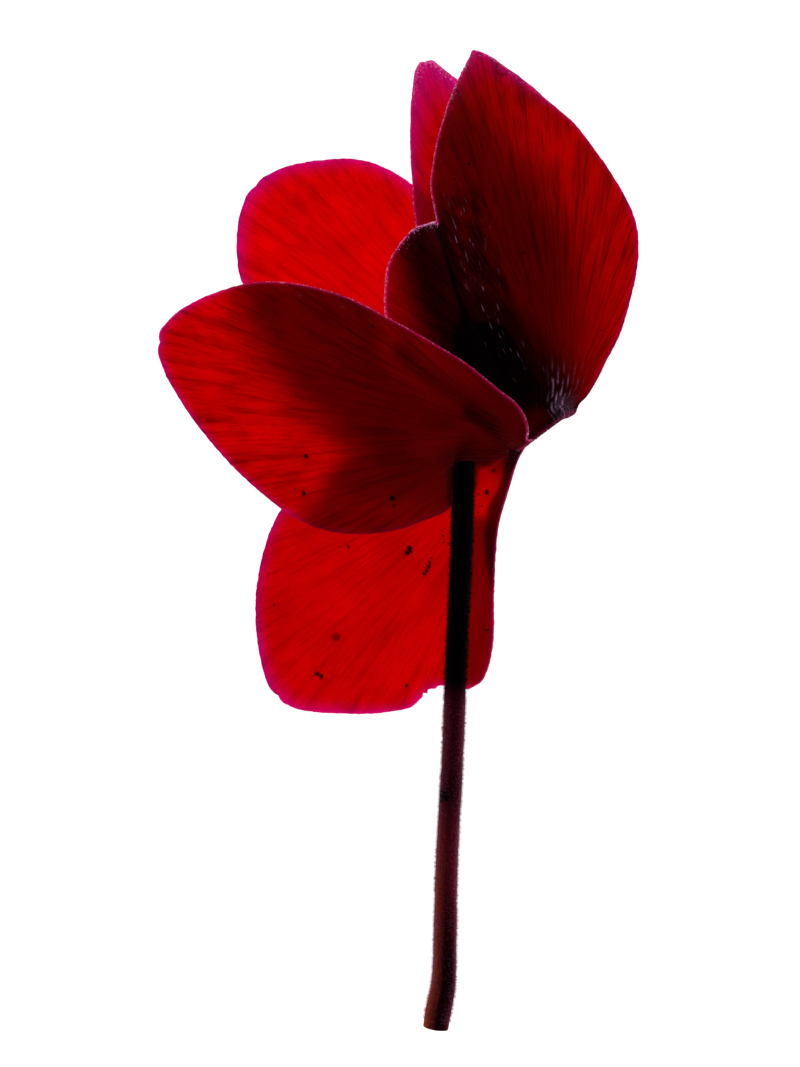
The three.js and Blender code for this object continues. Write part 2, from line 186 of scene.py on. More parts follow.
def off_line(points: np.ndarray, line: np.ndarray) -> np.ndarray:
    """Each point's distance from a line of straight spans, in two or three dimensions.

    Args:
        points: the points, one a row.
        line: the line's corners, one a row.

    Returns:
        The distance to the nearest place on the nearest span, one a point.
    """
    start, span = line[:-1], np.diff(line, axis=0)
    reach = points[:, None, :] - start[None]
    length = np.maximum((span * span).sum(1), 1e-12)
    share = np.clip((reach * span[None]).sum(2) / length, 0.0, 1.0)
    return np.linalg.norm(reach - share[..., None] * span[None], axis=2).min(1)


def depth_in(points: np.ndarray, outline: np.ndarray) -> np.ndarray:
    """How far each point lies inside a closed outline, negative outside it.

    A point is inside where a ray to the right crosses the outline an odd number of times.

    Args:
        points: the points, X and Y a row.
        outline: the outline's corners, X and Y a row.

    Returns:
        The distance from the outline, one a point.
    """
    a, b = outline, np.roll(outline, -1, axis=0)
    x, y = points[:, 0:1], points[:, 1:2]
    rises = (a[:, 1] > y) != (b[:, 1] > y)
    run = np.where(b[:, 1] == a[:, 1], 1e-9, b[:, 1] - a[:, 1])
    meets = a[:, 0] + (y - a[:, 1]) * (b[:, 0] - a[:, 0]) / run
    inside = (rises & (x < meets)).sum(1) % 2 == 1
    away = off_line(points, np.vstack([outline, outline[:1]]))
    return np.where(inside, away, -away)


def waves(position: np.ndarray, seed: int, count: int) -> np.ndarray:
    """A wavy line of about unit size, the sum of some sines.

    Each sine's pitch is about 1.7 times the last one's and its height 1.6 times less, and its
    phase is drawn.

    Args:
        position: where to read it.
        seed: the seed of the draw.
        count: how many sines there are.

    Returns:
        One number for each position.
    """
    draw = np.random.default_rng(seed)
    total = np.zeros_like(position)
    for k in range(count):
        pitch = 1.7**k * draw.uniform(0.85, 1.15)
        total = total + np.sin(2 * math.pi * (pitch * position + draw.uniform())) / 1.6**k
    return total / 2.0


# ---- meshes ---------------------------------------------------------------------------------


@dataclass
class Surface:
    """Points, faces and values at the points, gathered for one piece."""

    points: list[np.ndarray] = field(default_factory=list)
    faces: list[list[int]] = field(default_factory=list)
    values: dict[str, list[np.ndarray]] = field(default_factory=dict)
    count: int = 0

    def add(self, points: np.ndarray, faces: list[np.ndarray], **values: np.ndarray) -> None:
        """Adds a closed shape.

        Args:
            points: the shape's points.
            faces: groups of faces, which count the shape's own points.
            values: named lists with a number for each point.
        """
        for group in faces:
            self.faces.extend((group + self.count).tolist())
        self.points.append(points)
        for name, numbers in values.items():
            self.values.setdefault(name, []).append(np.asarray(numbers, float))
        self.count += len(points)

    def piece(self, name: str, slot: Slot, material: bpy.types.Material,
              node: str | None = None) -> bpy.types.Object:
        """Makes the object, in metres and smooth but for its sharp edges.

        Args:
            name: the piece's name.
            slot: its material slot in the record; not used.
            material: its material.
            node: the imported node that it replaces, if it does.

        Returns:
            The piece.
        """
        mesh = bpy.data.meshes.new(name)
        mesh.from_pydata((np.vstack(self.points) * MM).tolist(), [], self.faces)
        for key, parts in self.values.items():
            attribute = mesh.attributes.new(key, "FLOAT", "POINT")
            attribute.data.foreach_set("value", np.concatenate(parts).astype(np.float32))
        mesh.shade_smooth()
        mesh.set_sharp_from_angle(angle=math.radians(50.0))
        mesh.materials.append(material)
        made = bpy.data.objects.new(name, mesh)
        bpy.context.scene.collection.objects.link(made)
        if node:
            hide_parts(node)
        return made


def normals(middle: np.ndarray) -> np.ndarray:
    """A surface's normals: its step across crossed with its step along, made one long."""
    return unit(np.cross(np.gradient(middle, axis=1), np.gradient(middle, axis=0)))


def sheet(middle: np.ndarray, thickness: np.ndarray, lowest: float = -math.inf) -> Shape:
    """A closed thin sheet: both faces lie half a thickness from the middle, along its normals.

    Args:
        middle: the mid-surface, rows by columns.
        thickness: the thickness at each of its points.
        lowest: no point of the sheet comes below this height.

    Returns:
        The points, and the groups of faces.
    """
    rows, columns = middle.shape[:2]
    shift = normals(middle) * thickness[..., None] / 2
    points = np.concatenate([(middle + shift).reshape(-1, 3), (middle - shift).reshape(-1, 3)])
    points[:, 2] = np.maximum(points[:, 2], lowest)

    at = np.arange(rows * columns).reshape(rows, columns)
    a, b, c, d = at[:-1, :-1], at[:-1, 1:], at[1:, 1:], at[1:, :-1]
    under = rows * columns
    top = np.stack([a, b, c, d], -1).reshape(-1, 4)
    loop = np.concatenate([at[0, :-1], at[:-1, -1], at[-1, :0:-1], at[:0:-1, 0]])
    after = np.roll(loop, -1)
    rim = np.stack([after, loop, loop + under, after + under], -1)
    return points, [top, top[:, ::-1] + under, rim]


def tube(rings: np.ndarray) -> Shape:
    """A closed tube through rings of points, rings by sides, with a fan at each end.

    Args:
        rings: the points, which turn anticlockwise seen along the tube from its end.

    Returns:
        The points, and the groups of faces.
    """
    count, sides = rings.shape[:2]
    at = np.arange(count * sides).reshape(count, sides)
    after = np.roll(at, -1, axis=1)
    walls = np.stack([at[:-1], after[:-1], after[1:], at[1:]], -1).reshape(-1, 4)
    first, last = count * sides, count * sides + 1
    near = np.stack([np.full(sides, first), after[0], at[0]], -1)
    far = np.stack([np.full(sides, last), at[-1], after[-1]], -1)
    ends = [rings[0].mean(0)[None], rings[-1].mean(0)[None]]
    return np.concatenate([rings.reshape(-1, 3), *ends]), [walls, near, far]


def hoop(rings: np.ndarray) -> Shape:
    """A closed wall through rings of points, whose last ring joins the first again.

    Args:
        rings: the points, rings by sides.

    Returns:
        The points, and the groups of faces.
    """
    count, sides = rings.shape[:2]
    at = np.arange(count * sides).reshape(count, sides)
    after = np.roll(at, -1, axis=1)
    wall = np.stack([at, after, np.roll(after, -1, axis=0), np.roll(at, -1, axis=0)], -1)
    return rings.reshape(-1, 3), [wall.reshape(-1, 4)[:, ::-1]]


def in_head(local: np.ndarray) -> np.ndarray:
    """Takes points from the head's own frame, its axis +Y and its mouth at 0, to the flower's."""
    return MOUTH - local[..., 0:1] * SIDE + local[..., 1:2] * AXIS + local[..., 2:3] * UP


def around(radii: np.ndarray, heights: np.ndarray, sides: int, ribs: int = 0,
           rib: float = 0.0) -> np.ndarray:
    """Rings round the head's own Y axis, in the flower's frame.

    The radius at height h and turn t is radii(h) + rib * cos(ribs * t).

    Args:
        radii: the rings' radii.
        heights: their places along the axis.
        sides: the points in a ring.
        ribs: the ribs round a ring.
        rib: their height.

    Returns:
        The points, rings by sides.
    """
    turn = np.linspace(0.0, 2 * math.pi, sides, endpoint=False)
    reach = radii[:, None] + rib * np.cos(ribs * turn)[None]
    return in_head(np.stack([
        reach * np.sin(turn), np.broadcast_to(heights[:, None], reach.shape), reach * np.cos(turn),
    ], -1))


def turned(profile: FlatPoints, rings: int, sides: int, ribs: int = 0, rib: float = 0.0) -> Shape:
    """A solid turned round the head's axis, from the smooth line through a profile.

    Args:
        profile: radii and heights, from the stem's end to the mouth's.
        rings: how many rings the line is read at.
        sides: the points in a ring.
        ribs: the ribs round it.
        rib: their height.

    Returns:
        The points, and the groups of faces.
    """
    corners = np.column_stack([np.array(profile), np.zeros(len(profile))])
    smooth = line_through(corners, np.linspace(0, 1, rings))
    radii = np.maximum(smooth[:, 0], POLE)
    points, faces = tube(around(radii, smooth[:, 1], sides, ribs, rib))
    return points, [group[:, ::-1] for group in faces]


def along_route(route: np.ndarray, radii: np.ndarray) -> tuple[np.ndarray, np.ndarray]:
    """Rings round a route that never stands upright.

    Args:
        route: the route's points.
        radii: the radius at each point and side.

    Returns:
        The points, rings by sides, and the direction out of each.
    """
    tangent = unit(np.gradient(route, axis=0))
    left = unit(np.cross(UP, tangent))
    top = np.cross(tangent, left)
    turn = np.linspace(0.0, 2 * math.pi, radii.shape[1], endpoint=False)
    out = (np.cos(turn)[None, :, None] * left[:, None]
           + np.sin(turn)[None, :, None] * top[:, None])
    return route[:, None] + out * radii[..., None], out


# ---- materials ------------------------------------------------------------------------------


class Value:
    """A number that varies over a surface: a socket, with Python's operators as Math nodes."""

    def __init__(self, board: Board, socket: bpy.types.NodeSocket) -> None:
        """Wraps a socket of a board."""
        self.board = board
        self.socket = socket

    def _with(self, operation: str, *values: object) -> Value:
        """The result of a Math node."""
        settings, inputs = {"operation": operation}, dict(enumerate(values))
        return Value(self.board, self.board.add("ShaderNodeMath", settings, inputs).outputs[0])

    def __add__(self, other: object) -> Value:
        """self + other."""
        return self._with("ADD", self, other)

    __radd__ = __add__

    def __sub__(self, other: object) -> Value:
        """self - other."""
        return self._with("SUBTRACT", self, other)

    def __rsub__(self, other: object) -> Value:
        """other - self."""
        return self._with("SUBTRACT", other, self)

    def __mul__(self, other: object) -> Value:
        """self * other."""
        return self._with("MULTIPLY", self, other)

    __rmul__ = __mul__

    def most(self, other: object) -> Value:
        """The greater of the two."""
        return self._with("MAXIMUM", self, other)

    def least(self, other: object) -> Value:
        """The smaller of the two."""
        return self._with("MINIMUM", self, other)

    def shade(self, share: float) -> Value:
        """The light that is left where this takes a share of it."""
        return 1.0 - self * share

    def sway(self, amount: float) -> Value:
        """A factor that varies round 1, by amount between the values 0 and 1."""
        return self * amount + (1.0 - amount / 2)

    def step(self, low: float, high: float) -> Value:
        """A smooth step, rising or falling.

        Args:
            low: where it is 0.
            high: where it is 1, which may be the lower of the two.

        Returns:
            The value, from 0 to 1.
        """
        settings = {"interpolation_type": "SMOOTHSTEP"}
        if high >= low:
            inputs = {0: self, 1: low, 2: high, 3: 0.0, 4: 1.0}
        else:
            inputs = {0: self, 1: high, 2: low, 3: 1.0, 4: 0.0}
        return Value(self.board, self.board.add("ShaderNodeMapRange", settings, inputs).outputs[0])

    def stretch(self, rise: Range, fall: Range) -> Value:
        """1 in a stretch that begins over one range and ends over the other, and 0 outside."""
        return self.step(*rise) * self.step(*fall)


class Board:
    """One material's nodes."""

    def __init__(self, name: str) -> None:
        """Starts an empty material."""
        self.material = bpy.data.materials.new(name)
        self.material.use_nodes = True
        self.tree = self.material.node_tree
        self.tree.nodes.clear()
        self.place = self.add("ShaderNodeTexCoord").outputs["Object"]

    def add(self, kind: str, settings: dict | None = None,
            inputs: dict | None = None) -> bpy.types.Node:
        """Adds a node.

        Args:
            kind: the node's type.
            settings: its own settings, which are set first.
            inputs: the number, colour or socket for each input, by name or place.

        Returns:
            The node.
        """
        node = self.tree.nodes.new(kind)
        for key, setting in (settings or {}).items():
            setattr(node, key, setting)
        for key, given in (inputs or {}).items():
            self._feed(node.inputs[key], given)
        return node

    def _feed(self, socket: bpy.types.NodeSocket, given: object) -> None:
        """Links a socket to another, or sets its number or colour.

        Args:
            socket: the input.
            given: a value, a socket, a colour or a number.
        """
        if isinstance(given, Value):
            given = given.socket
        if isinstance(given, bpy.types.NodeSocket):
            self.tree.links.new(given, socket)
        elif isinstance(given, tuple) and len(given) == 3 and socket.type == "RGBA":
            socket.default_value = (*given, 1.0)
        else:
            socket.default_value = given

    def at_points(self, name: str) -> Value:
        """The value that the piece keeps at its points under a name."""
        return Value(self, self.add("ShaderNodeAttribute", {"attribute_name": name}).outputs["Fac"])

    def axes(self) -> tuple[Value, Value]:
        """X and Y on the object, in metres."""
        node = self.add("ShaderNodeSeparateXYZ", None, {0: self.place})
        return Value(self, node.outputs[0]), Value(self, node.outputs[1])

    def stretched(self, x: object, y: object, z: object = 0.0) -> bpy.types.NodeSocket:
        """A place made of three values."""
        return self.add("ShaderNodeCombineXYZ", None, {0: x, 1: y, 2: z}).outputs[0]

    def distance(self, place: bpy.types.NodeSocket, centre: tuple[float, float]) -> Value:
        """How far a place is from a centre.

        Args:
            place: the place, in metres.
            centre: X and Y of the centre, in millimetres.

        Returns:
            The distance in metres.
        """
        inputs = {0: place, 1: (centre[0] * MM, centre[1] * MM, 0.0)}
        node = self.add("ShaderNodeVectorMath", {"operation": "DISTANCE"}, inputs)
        return Value(self, node.outputs["Value"])

    def noise(self, place: bpy.types.NodeSocket, scale: float, detail: float = 3.0,
              rough: float = 0.55) -> Value:
        """Cloudy noise from 0 to 1.

        Args:
            place: where it is read.
            scale: its clouds in one unit of the place.
            detail: how many finer layers it has.
            rough: how strong the finer layers are.

        Returns:
            The noise.
        """
        inputs = {"Vector": place, "Scale": scale, "Detail": detail, "Roughness": rough}
        return Value(self, self.add("ShaderNodeTexNoise", None, inputs).outputs[0])

    def cells(self, place: bpy.types.NodeSocket, scale: float) -> tuple[Value, Value]:
        """A pattern of scattered spots.

        Args:
            place: where it is read.
            scale: its spots in one unit of the place.

        Returns:
            The distance from the nearest spot, and a number drawn for that spot.
        """
        node = self.add("ShaderNodeTexVoronoi", None, {"Vector": place, "Scale": scale})
        drawn = self.add("ShaderNodeSeparateColor", None, {0: node.outputs["Color"]}).outputs[0]
        return Value(self, node.outputs["Distance"]), Value(self, drawn)

    def blend(self, amount: object, first: object, second: object) -> bpy.types.NodeSocket:
        """The first colour, and the second where amount is 1."""
        inputs = {0: amount, 6: first, 7: second}
        return self.add("ShaderNodeMix", {"data_type": "RGBA"}, inputs).outputs[2]

    def relief(self, height: Value, depth: float, strength: float = 1.0) -> bpy.types.NodeSocket:
        """The normal of a surface with small relief, its full depth in metres."""
        inputs = {"Strength": strength, "Distance": depth, "Height": height}
        return self.add("ShaderNodeBump", None, inputs).outputs[0]

    def skin(self, **inputs: object) -> bpy.types.NodeSocket:
        """An opaque skin, its sockets by their names with underscores for spaces."""
        named = {key.replace("_", " "): given for key, given in inputs.items()}
        return self.add("ShaderNodeBsdfPrincipled", None, named).outputs[0]

    def lit_through(self, colour: Colour) -> bpy.types.NodeSocket:
        """A thin skin that light comes through in a colour."""
        return self.add("ShaderNodeBsdfTranslucent", None, {"Color": colour}).outputs[0]

    def mixed(self, amount: Value, first: bpy.types.NodeSocket,
              second: bpy.types.NodeSocket) -> bpy.types.NodeSocket:
        """The first shader, and the second where amount is 1."""
        return self.add("ShaderNodeMixShader", None, {0: amount, 1: first, 2: second}).outputs[0]

    def finish(self, shader: bpy.types.NodeSocket) -> bpy.types.Material:
        """Sends the shader out, and returns the material."""
        self.add("ShaderNodeOutputMaterial", None, {"Surface": shader})
        return self.material


@dataclass(frozen=True)
class Spot:
    """A dark fleck through a petal: its place in X and Y, its radius, and its darkness."""

    x: float
    y: float
    radius: float
    dark: float = 1.0


@dataclass(frozen=True)
class PetalFinish:
    """Living petal: it lets light through, with streaks, a magenta rim and a dark base.

    sap is the light let through and rim_sap the same near the rim. ember is a deep red glow painted
    on the base, for light that would come round through it. lilac and glint are painted highlights,
    fringe a painted glowing rim, and throat both the throat's own dark and painted shade. Each
    grain is how many clouds a pattern has across and along the fan of veins, or in a metre. A share
    is how much of the light the thing takes away.
    """

    sap: Colour = (0.93, 0.004, 0.008)
    rim_sap: Colour = (0.93, 0.012, 0.50)
    red: Colour = (0.10, 0.0005, 0.001)
    vein: Colour = (0.04, 0.0003, 0.001)
    magenta: Colour = (0.30, 0.003, 0.075)
    # lilac and glint are painted highlights, pale and glowing; fringe and ember are painted glows;
    # throat is also the black of painted shade.
    highlight_lilac: Colour = (0.55, 0.03, 0.24)
    throat_and_shade: Colour = (0.004, 0.0003, 0.001)
    speck: Colour = (0.008, 0.002, 0.002)
    glint: Colour = (0.60, 0.31, 0.53)
    painted_rim_glow: Colour = (0.62, 0.012, 0.16)
    painted_glow: Colour = (0.060, 0.0004, 0.0008)
    black: Colour = (0.0, 0.0, 0.0)
    vein_grain: Range = (42.0, 4.0)
    fibre_grain: Range = (105.0, 13.0)
    glint_grain: Range = (48.0, 34.0)
    cloud_grain: float = 170.0
    blush_grain: float = 420.0
    crumb_grain: float = 420.0
    patch_grain: float = 800.0
    ragged_grain: float = 1900.0
    fine_grain: float = 2600.0
    glitter_grain: float = 3100.0
    vein_edge: Range = (0.46, 0.64)
    crack_edge: Range = (0.44, 0.58)
    patch_edge: Range = (0.38, 0.66)
    glitter_edge: Range = (0.42, 0.58)
    glint_edge: Range = (0.45, 0.15)
    pin_edge: Range = (0.085, 0.04)
    pin_lot: Range = (0.950, 0.955)  # only the cells that drew more hold a pin
    pin_share: float = 0.8
    speck_share: float = 0.96
    base_share: float = 0.995
    crack_share: float = 0.7
    glint_share: float = 0.5
    most_light: float = 0.92
    clear: float = 0.80  # the share of light that passes each face of a petal
    ragged: float = 0.0006  # metres that a fleck's edge strays
    relief: float = 0.00025

    def dress(self, name: str, spots: tuple[Spot, ...], streak: float) -> bpy.types.Material:
        """Makes the material of one petal.

        Args:
            name: the material's name.
            spots: the dark flecks on this petal.
            streak: how much light the veins take away, from 0 to 1.

        Returns:
            The material, which reads the petal's own values at its points.
        """
        board = Board(name)
        read = {key: board.at_points(key) for key in PETAL_VALUES}
        cloud = board.noise(board.place, self.cloud_grain)
        grain = board.noise(board.place, self.fine_grain, 2.0, 0.7)
        uneven = board.noise(board.place, self.blush_grain).sway(0.9)
        blush = (read["blush"] * uneven).least(1.0)
        veins, cracks = self._veins(board, read)
        specks = self._specks(board, spots)
        # Painted highlights: glinting flecks, pleat lines and pale dots, which also let less light
        # through.
        shine, pleat, dots = self._painted_highlights(board, read)
        glinted = (pleat * 0.5).most(shine * 0.6)

        # Where painted shade is nearly full, the skin turns to the throat's black as well.
        dusk = read["behind"].step(0.95, 0.99)
        pale = (glinted.most(dots) + read["rim_highlight"] * 0.2).least(1.0)
        colour = board.blend(veins, self.red, self.vein)
        colour = board.blend(blush, colour, self.magenta)
        colour = board.blend(read["dark_base_and_shade"].most(dusk), colour, self.throat_and_shade)
        colour = board.blend(pale, colour, self.highlight_lilac)
        colour = board.blend(specks, colour, self.speck)

        # Painted shade takes its share of the light let through: the dark base and what lies
        # behind.
        light = veins.shade(streak) * cloud.sway(0.32) * grain.sway(0.28)
        light = light * read["dark_base_and_shade"].shade(self.base_share) * (1.0 - read["behind"])
        light = light * cracks.shade(self.crack_share) * specks.shade(self.speck_share)
        light = light * glinted.shade(self.glint_share)

        # All the emission is painted light: glints, pleat lines and dots, glowing pale margins, and
        # a deep red glow at the base.
        sparkle = (shine * (0.05 + read["glint_zone"] * 0.22)).most(pleat * 0.36).most(dots * 0.75)
        edge = read["rim_highlight"].step(0.0, 0.5) * (0.25 + cloud * 0.3)
        kept = board.blend(read["painted_glow"] * veins.shade(0.6), self.black, self.painted_glow)
        kept = board.blend(edge, kept, self.painted_rim_glow)
        height = veins * -0.6 + grain * 0.3 + cloud * 0.3
        skin = board.skin(
            Base_Color=colour, Roughness=0.50 + grain * 0.2, Specular_IOR_Level=0.012,
            Normal=board.relief(height, self.relief, 0.6),
            Emission_Color=board.blend(sparkle.least(1.0), kept, self.glint),
            Emission_Strength=1.0,
        )
        glow = board.mixed(blush, board.lit_through(self.sap), board.lit_through(self.rim_sap))
        passing = (light * self.clear).least(self.most_light).most(0.0)
        return board.finish(board.mixed(passing, skin, glow))

    def _veins(self, board: Board, read: dict[str, Value]) -> tuple[Value, Value]:
        """The dark veins, and the cracks between the painted glints, both stretched along the fan.

        Args:
            board: the material.
            read: the petal's values.

        Returns:
            The veins and the cracks, from 0 to 1.
        """
        fan, away = read["fan"], read["away"]
        across, along = self.vein_grain
        streaks = board.noise(board.stretched(fan * across, away * along), 1.0, 3.0, 0.6)
        across, along = self.fibre_grain
        fibres = board.noise(board.stretched(fan * across, away * along, 3.0), 1.0, 3.0, 0.65)
        broad = streaks.step(*self.vein_edge) * (0.75 - away * 0.25)
        fine = fibres.step(*self.vein_edge) * (0.25 + away * 0.35)
        return broad + fine, read["glint_zone"].step(0.3, 0.8) * fibres.step(*self.crack_edge)

    def _painted_highlights(self, board: Board, read: dict[str, Value]) -> tuple[Value, Value, Value]:
        """The painted highlights on a petal, pale marks that mostly glow.

        Args:
            board: the material.
            read: the petal's values.

        Returns:
            Glinting flecks, lines on the pleats' ridges and fine pale dots, each from 0 to 1.
        """
        across, along = self.glint_grain
        place = board.stretched(read["across"] * across, read["along"] * along)
        glint_flakes, lot = board.cells(place, 1.0)
        patches = board.noise(board.place, self.patch_grain, 2.0).step(*self.patch_edge)
        chosen = (lot + read["glint_zone"] * 0.30 - 1.0).step(0.0, 0.30)
        glitter = board.noise(board.place, self.glitter_grain, 3.0, 0.75)
        pale_rim_and_flecks = read["rim_highlight"].most(read["mottle"])
        dots = (glitter + pale_rim_and_flecks * 0.32 - 0.74).step(0.0, 0.10) * pale_rim_and_flecks.step(0.0, 0.2)
        pleat = read["pleat"] * (0.3 + glitter.step(*self.glitter_edge) * 0.7)
        return glint_flakes.step(*self.glint_edge) * chosen * patches, pleat, dots

    def _specks(self, board: Board, spots: tuple[Spot, ...]) -> Value:
        """The dark flecks, with ragged edges, and pinpricks at random.

        Args:
            board: the material.
            spots: the flecks.

        Returns:
            How dark each point is, from 0 to 1.
        """
        x, y = board.axes()
        stray = (board.noise(board.place, self.ragged_grain, 2.0) - 0.5) * self.ragged
        flat = board.stretched(x + stray, y - stray)
        crumbs, lot = board.cells(board.place, self.crumb_grain)
        marks = [crumbs.step(*self.pin_edge) * lot.step(*self.pin_lot) * self.pin_share]
        for spot in spots:
            radius = (spot.radius + 0.10) * MM
            off = board.distance(flat, (spot.x, spot.y))
            marks.append(off.step(radius * 1.25, radius * 0.55) * spot.dark)
        return reduce(Value.most, marks)


@dataclass(frozen=True)
class StalkFinish:
    """The stalk's dark skin, redder along some stretches, with fine lengthwise lines.

    A stretch begins over its first range and ends over its second, from the hook at 0 to the cut
    at 1. The flank runs from -1 on the left to 1 on the right. Towards the hook the stalk is
    painted black for shade, shade is painted shade on one flank lower down, and bloom is painted
    pale light on both flanks, where the down catches light from behind.
    """

    dark: Colour = (0.13, 0.010, 0.032)
    red: Colour = (0.40, 0.014, 0.050)
    brown: Colour = (0.50, 0.055, 0.022)
    flank_light: Colour = (0.26, 0.080, 0.125)  # painted pale light on both flanks, where the down catches light from behind
    line: Colour = (0.02, 0.001, 0.004)
    shade: Colour = (0.008, 0.0008, 0.0015)
    black: Colour = (0.002, 0.0005, 0.001)
    cut: Colour = (0.62, 0.20, 0.10)
    pith: Colour = (0.05, 0.02, 0.012)
    red_stretch: tuple[Range, Range] = ((0.64, 0.74), (0.92, 0.84))
    faint_stretch: tuple[Range, Range] = ((0.50, 0.56), (0.66, 0.60))
    flank_light_stretch: tuple[Range, Range] = ((0.52, 0.56), (0.97, 0.90))
    shade_flank: tuple[Range, Range] = ((-0.30, 0.10), (0.95, 0.55))
    shade_from: Range = (0.76, 0.88)
    brown_from: Range = (0.66, 0.78)
    red_end: Range = (0.88, 0.97)
    black_until: Range = (0.525, 0.495)
    scar: tuple[float, float] = (6.1, -35.5)
    scar_edge: Range = (0.0013, 0.0006)
    fine_grain: float = 2400.0

    def dress(self) -> bpy.types.Material:
        """Makes the material, which reads how far along and how far round each point is.

        Returns:
            The material.
        """
        board = Board("stalk_skin")
        along, turn, flank, sawn = (board.at_points(key) for key in STALK_VALUES)
        lines = board.noise(board.stretched(turn * 9.0, along * 6.0), 1.0, 3.0, 0.6)
        blotch = board.noise(board.stretched(turn * 1.6, along * 11.0, 5.0), 1.0)
        grain = board.noise(board.place, self.fine_grain, 3.0, 0.65)
        warm = along.stretch(*self.red_stretch) + along.stretch(*self.faint_stretch) * 0.4
        warm = warm + along.step(*self.red_end) * 0.45
        warm = (warm * blotch.sway(0.9)).least(1.0)
        brown = along.step(*self.brown_from) * flank.step(0.1, -0.7)
        # Painted shade on one flank, and painted pale light on both flanks of the lower stretch.
        shade = along.step(*self.shade_from) * flank.stretch(*self.shade_flank)
        down = (flank * flank).step(0.45, 0.95) * along.stretch(*self.flank_light_stretch)
        scar = board.distance(board.stretched(*board.axes()), self.scar)
        scar = (scar + (grain - 0.5) * 0.0008).step(*self.scar_edge)

        colour = board.blend(warm, self.dark, self.red)
        colour = board.blend(lines.step(0.42, 0.7) * 0.45, colour, self.line)
        colour = board.blend(brown, colour, self.brown)
        colour = board.blend(shade * 0.8, colour, self.shade)
        colour = board.blend(down * grain.step(0.30, 0.62), colour, self.flank_light)
        # Towards the hook the stalk is painted black for shade; the scar is black too.
        colour = board.blend(along.step(*self.black_until).most(scar) * 0.97, colour, self.black)
        colour = board.blend(sawn, colour, board.blend(grain, self.cut, self.pith))
        height = lines * 0.6 + grain * 0.5 + blotch * 0.5
        return board.finish(board.skin(
            Base_Color=colour, Roughness=0.60 + grain * 0.25, Specular_IOR_Level=0.015,
            Normal=board.relief(height, 0.00018, 0.7),
        ))


@dataclass(frozen=True)
class HairFinish:
    """Fine hairs that light from behind turns a pale purple; higher up they are painted black, for
    shade.
    """

    pale: Colour = (0.07, 0.010, 0.026)
    dull: Colour = (0.04, 0.008, 0.018)
    black: Colour = (0.004, 0.001, 0.002)
    glow: Colour = (0.70, 0.40, 0.54)
    pale_from: Range = (0.50, 0.54)

    def dress(self) -> bpy.types.Material:
        """Makes the material, which reads how far along the stalk each hair stands.

        Returns:
            The material.
        """
        board = Board("stalk_hairs")
        cloud = board.noise(board.place, 900.0, 2.0)
        # Higher up the hairs are painted black and let no light through, for shade.
        lower = board.at_points("along").step(*self.pale_from)
        down = board.blend(cloud, self.pale, self.dull)
        skin = board.skin(Base_Color=board.blend(lower, self.black, down),
                          Roughness=0.6 + cloud * 0.1, Specular_IOR_Level=0.02)
        passing = (0.65 + cloud * 0.2) * lower
        return board.finish(board.mixed(passing, skin, board.lit_through(self.glow)))


@dataclass(frozen=True)
class PlainFinish:
    """A small organ's skin: two tones in clouds, and a fine grain."""

    name: str
    main: Colour
    second: Colour
    roughness: float
    cloud_grain: float = 500.0
    fine_grain: float = 3200.0
    relief: float = 0.00012

    def dress(self) -> bpy.types.Material:
        """Makes the material on the piece's own place.

        Returns:
            The material.
        """
        board = Board(self.name)
        cloud = board.noise(board.place, self.cloud_grain, 4.0, 0.6)
        grain = board.noise(board.place, self.fine_grain, 2.0, 0.7)
        return board.finish(board.skin(
            Base_Color=board.blend(cloud.step(0.38, 0.66), self.main, self.second),
            Roughness=self.roughness + grain * 0.2, Specular_IOR_Level=0.12,
            Normal=board.relief(cloud * 0.5 + grain * 0.5, self.relief, 0.6),
        ))


# ---- petals ---------------------------------------------------------------------------------

RIM_RADIUS = 3.4  # of the mouth, where the petals begin
RIM_GAP = 0.45  # how far ahead of the mouth they begin
ROLL_RADIUS = 1.1  # of the bend in which a petal folds back
LEAVING_LENGTH = 1.0  # how far a petal runs straight on, once it has folded back
TABLE_REST = 0.35  # the lowest height of a petal's middle
REST_BLEND = 0.6  # how soon above it a petal begins to bend flat
ROLLED_END = 0.02  # the rolled base has shares along the petal below this


def outward(angle: np.ndarray) -> np.ndarray:
    """Directions out of the flower's axis, at angles from the top."""
    return np.cos(angle)[..., None] * UP + np.sin(angle)[..., None] * SIDE


def on_table(middle: np.ndarray) -> np.ndarray:
    """Lays what would sink into the table flat on it, with a parabola as a soft bend.

    Args:
        middle: a mid-surface.

    Returns:
        The same surface, nowhere lower than a petal can lie.
    """
    above = middle[..., 2] - TABLE_REST
    soft = (above + REST_BLEND) ** 2 / (4 * REST_BLEND)
    flat = np.where(above < -REST_BLEND, 0.0, np.where(above < REST_BLEND, soft, above))
    return np.concatenate([middle[..., :2], (TABLE_REST + flat)[..., None]], -1)


def on_both_faces(numbers: np.ndarray) -> np.ndarray:
    """The numbers for a sheet's upper face, and the same again for its lower one."""
    return np.tile(numbers.reshape(-1), 2)


class GlintPlace(Enum):
    """Where a petal has painted glints: pale flecks that glow."""

    RIGHT_MARGIN = "right margin"
    CREASE = "crease"
    TIP = "tip"


@dataclass(frozen=True)
class Lobe:
    """A part of a blade that is folded down behind a crease.

    left and middle run from the crease's outer end to its inner one, and the third line is the
    crease itself, between two shares along the blade.
    """

    left: Points
    middle: Points
    crease: Range = (0.53, 0.07)
    edge: float = -0.95
    rows: int = 72
    columns: int = 40


@dataclass(frozen=True)
class Shadow:
    """A painted soft shadow along a line, for thick parts behind a petal or a curled edge."""

    line: FlatPoints
    near: float
    far: float
    strength: float

    def reach(self, seen: np.ndarray) -> np.ndarray:
        """1 within near of the line and 0 beyond far."""
        return ease(self.far, self.near, off_line(seen, np.array(self.line)))


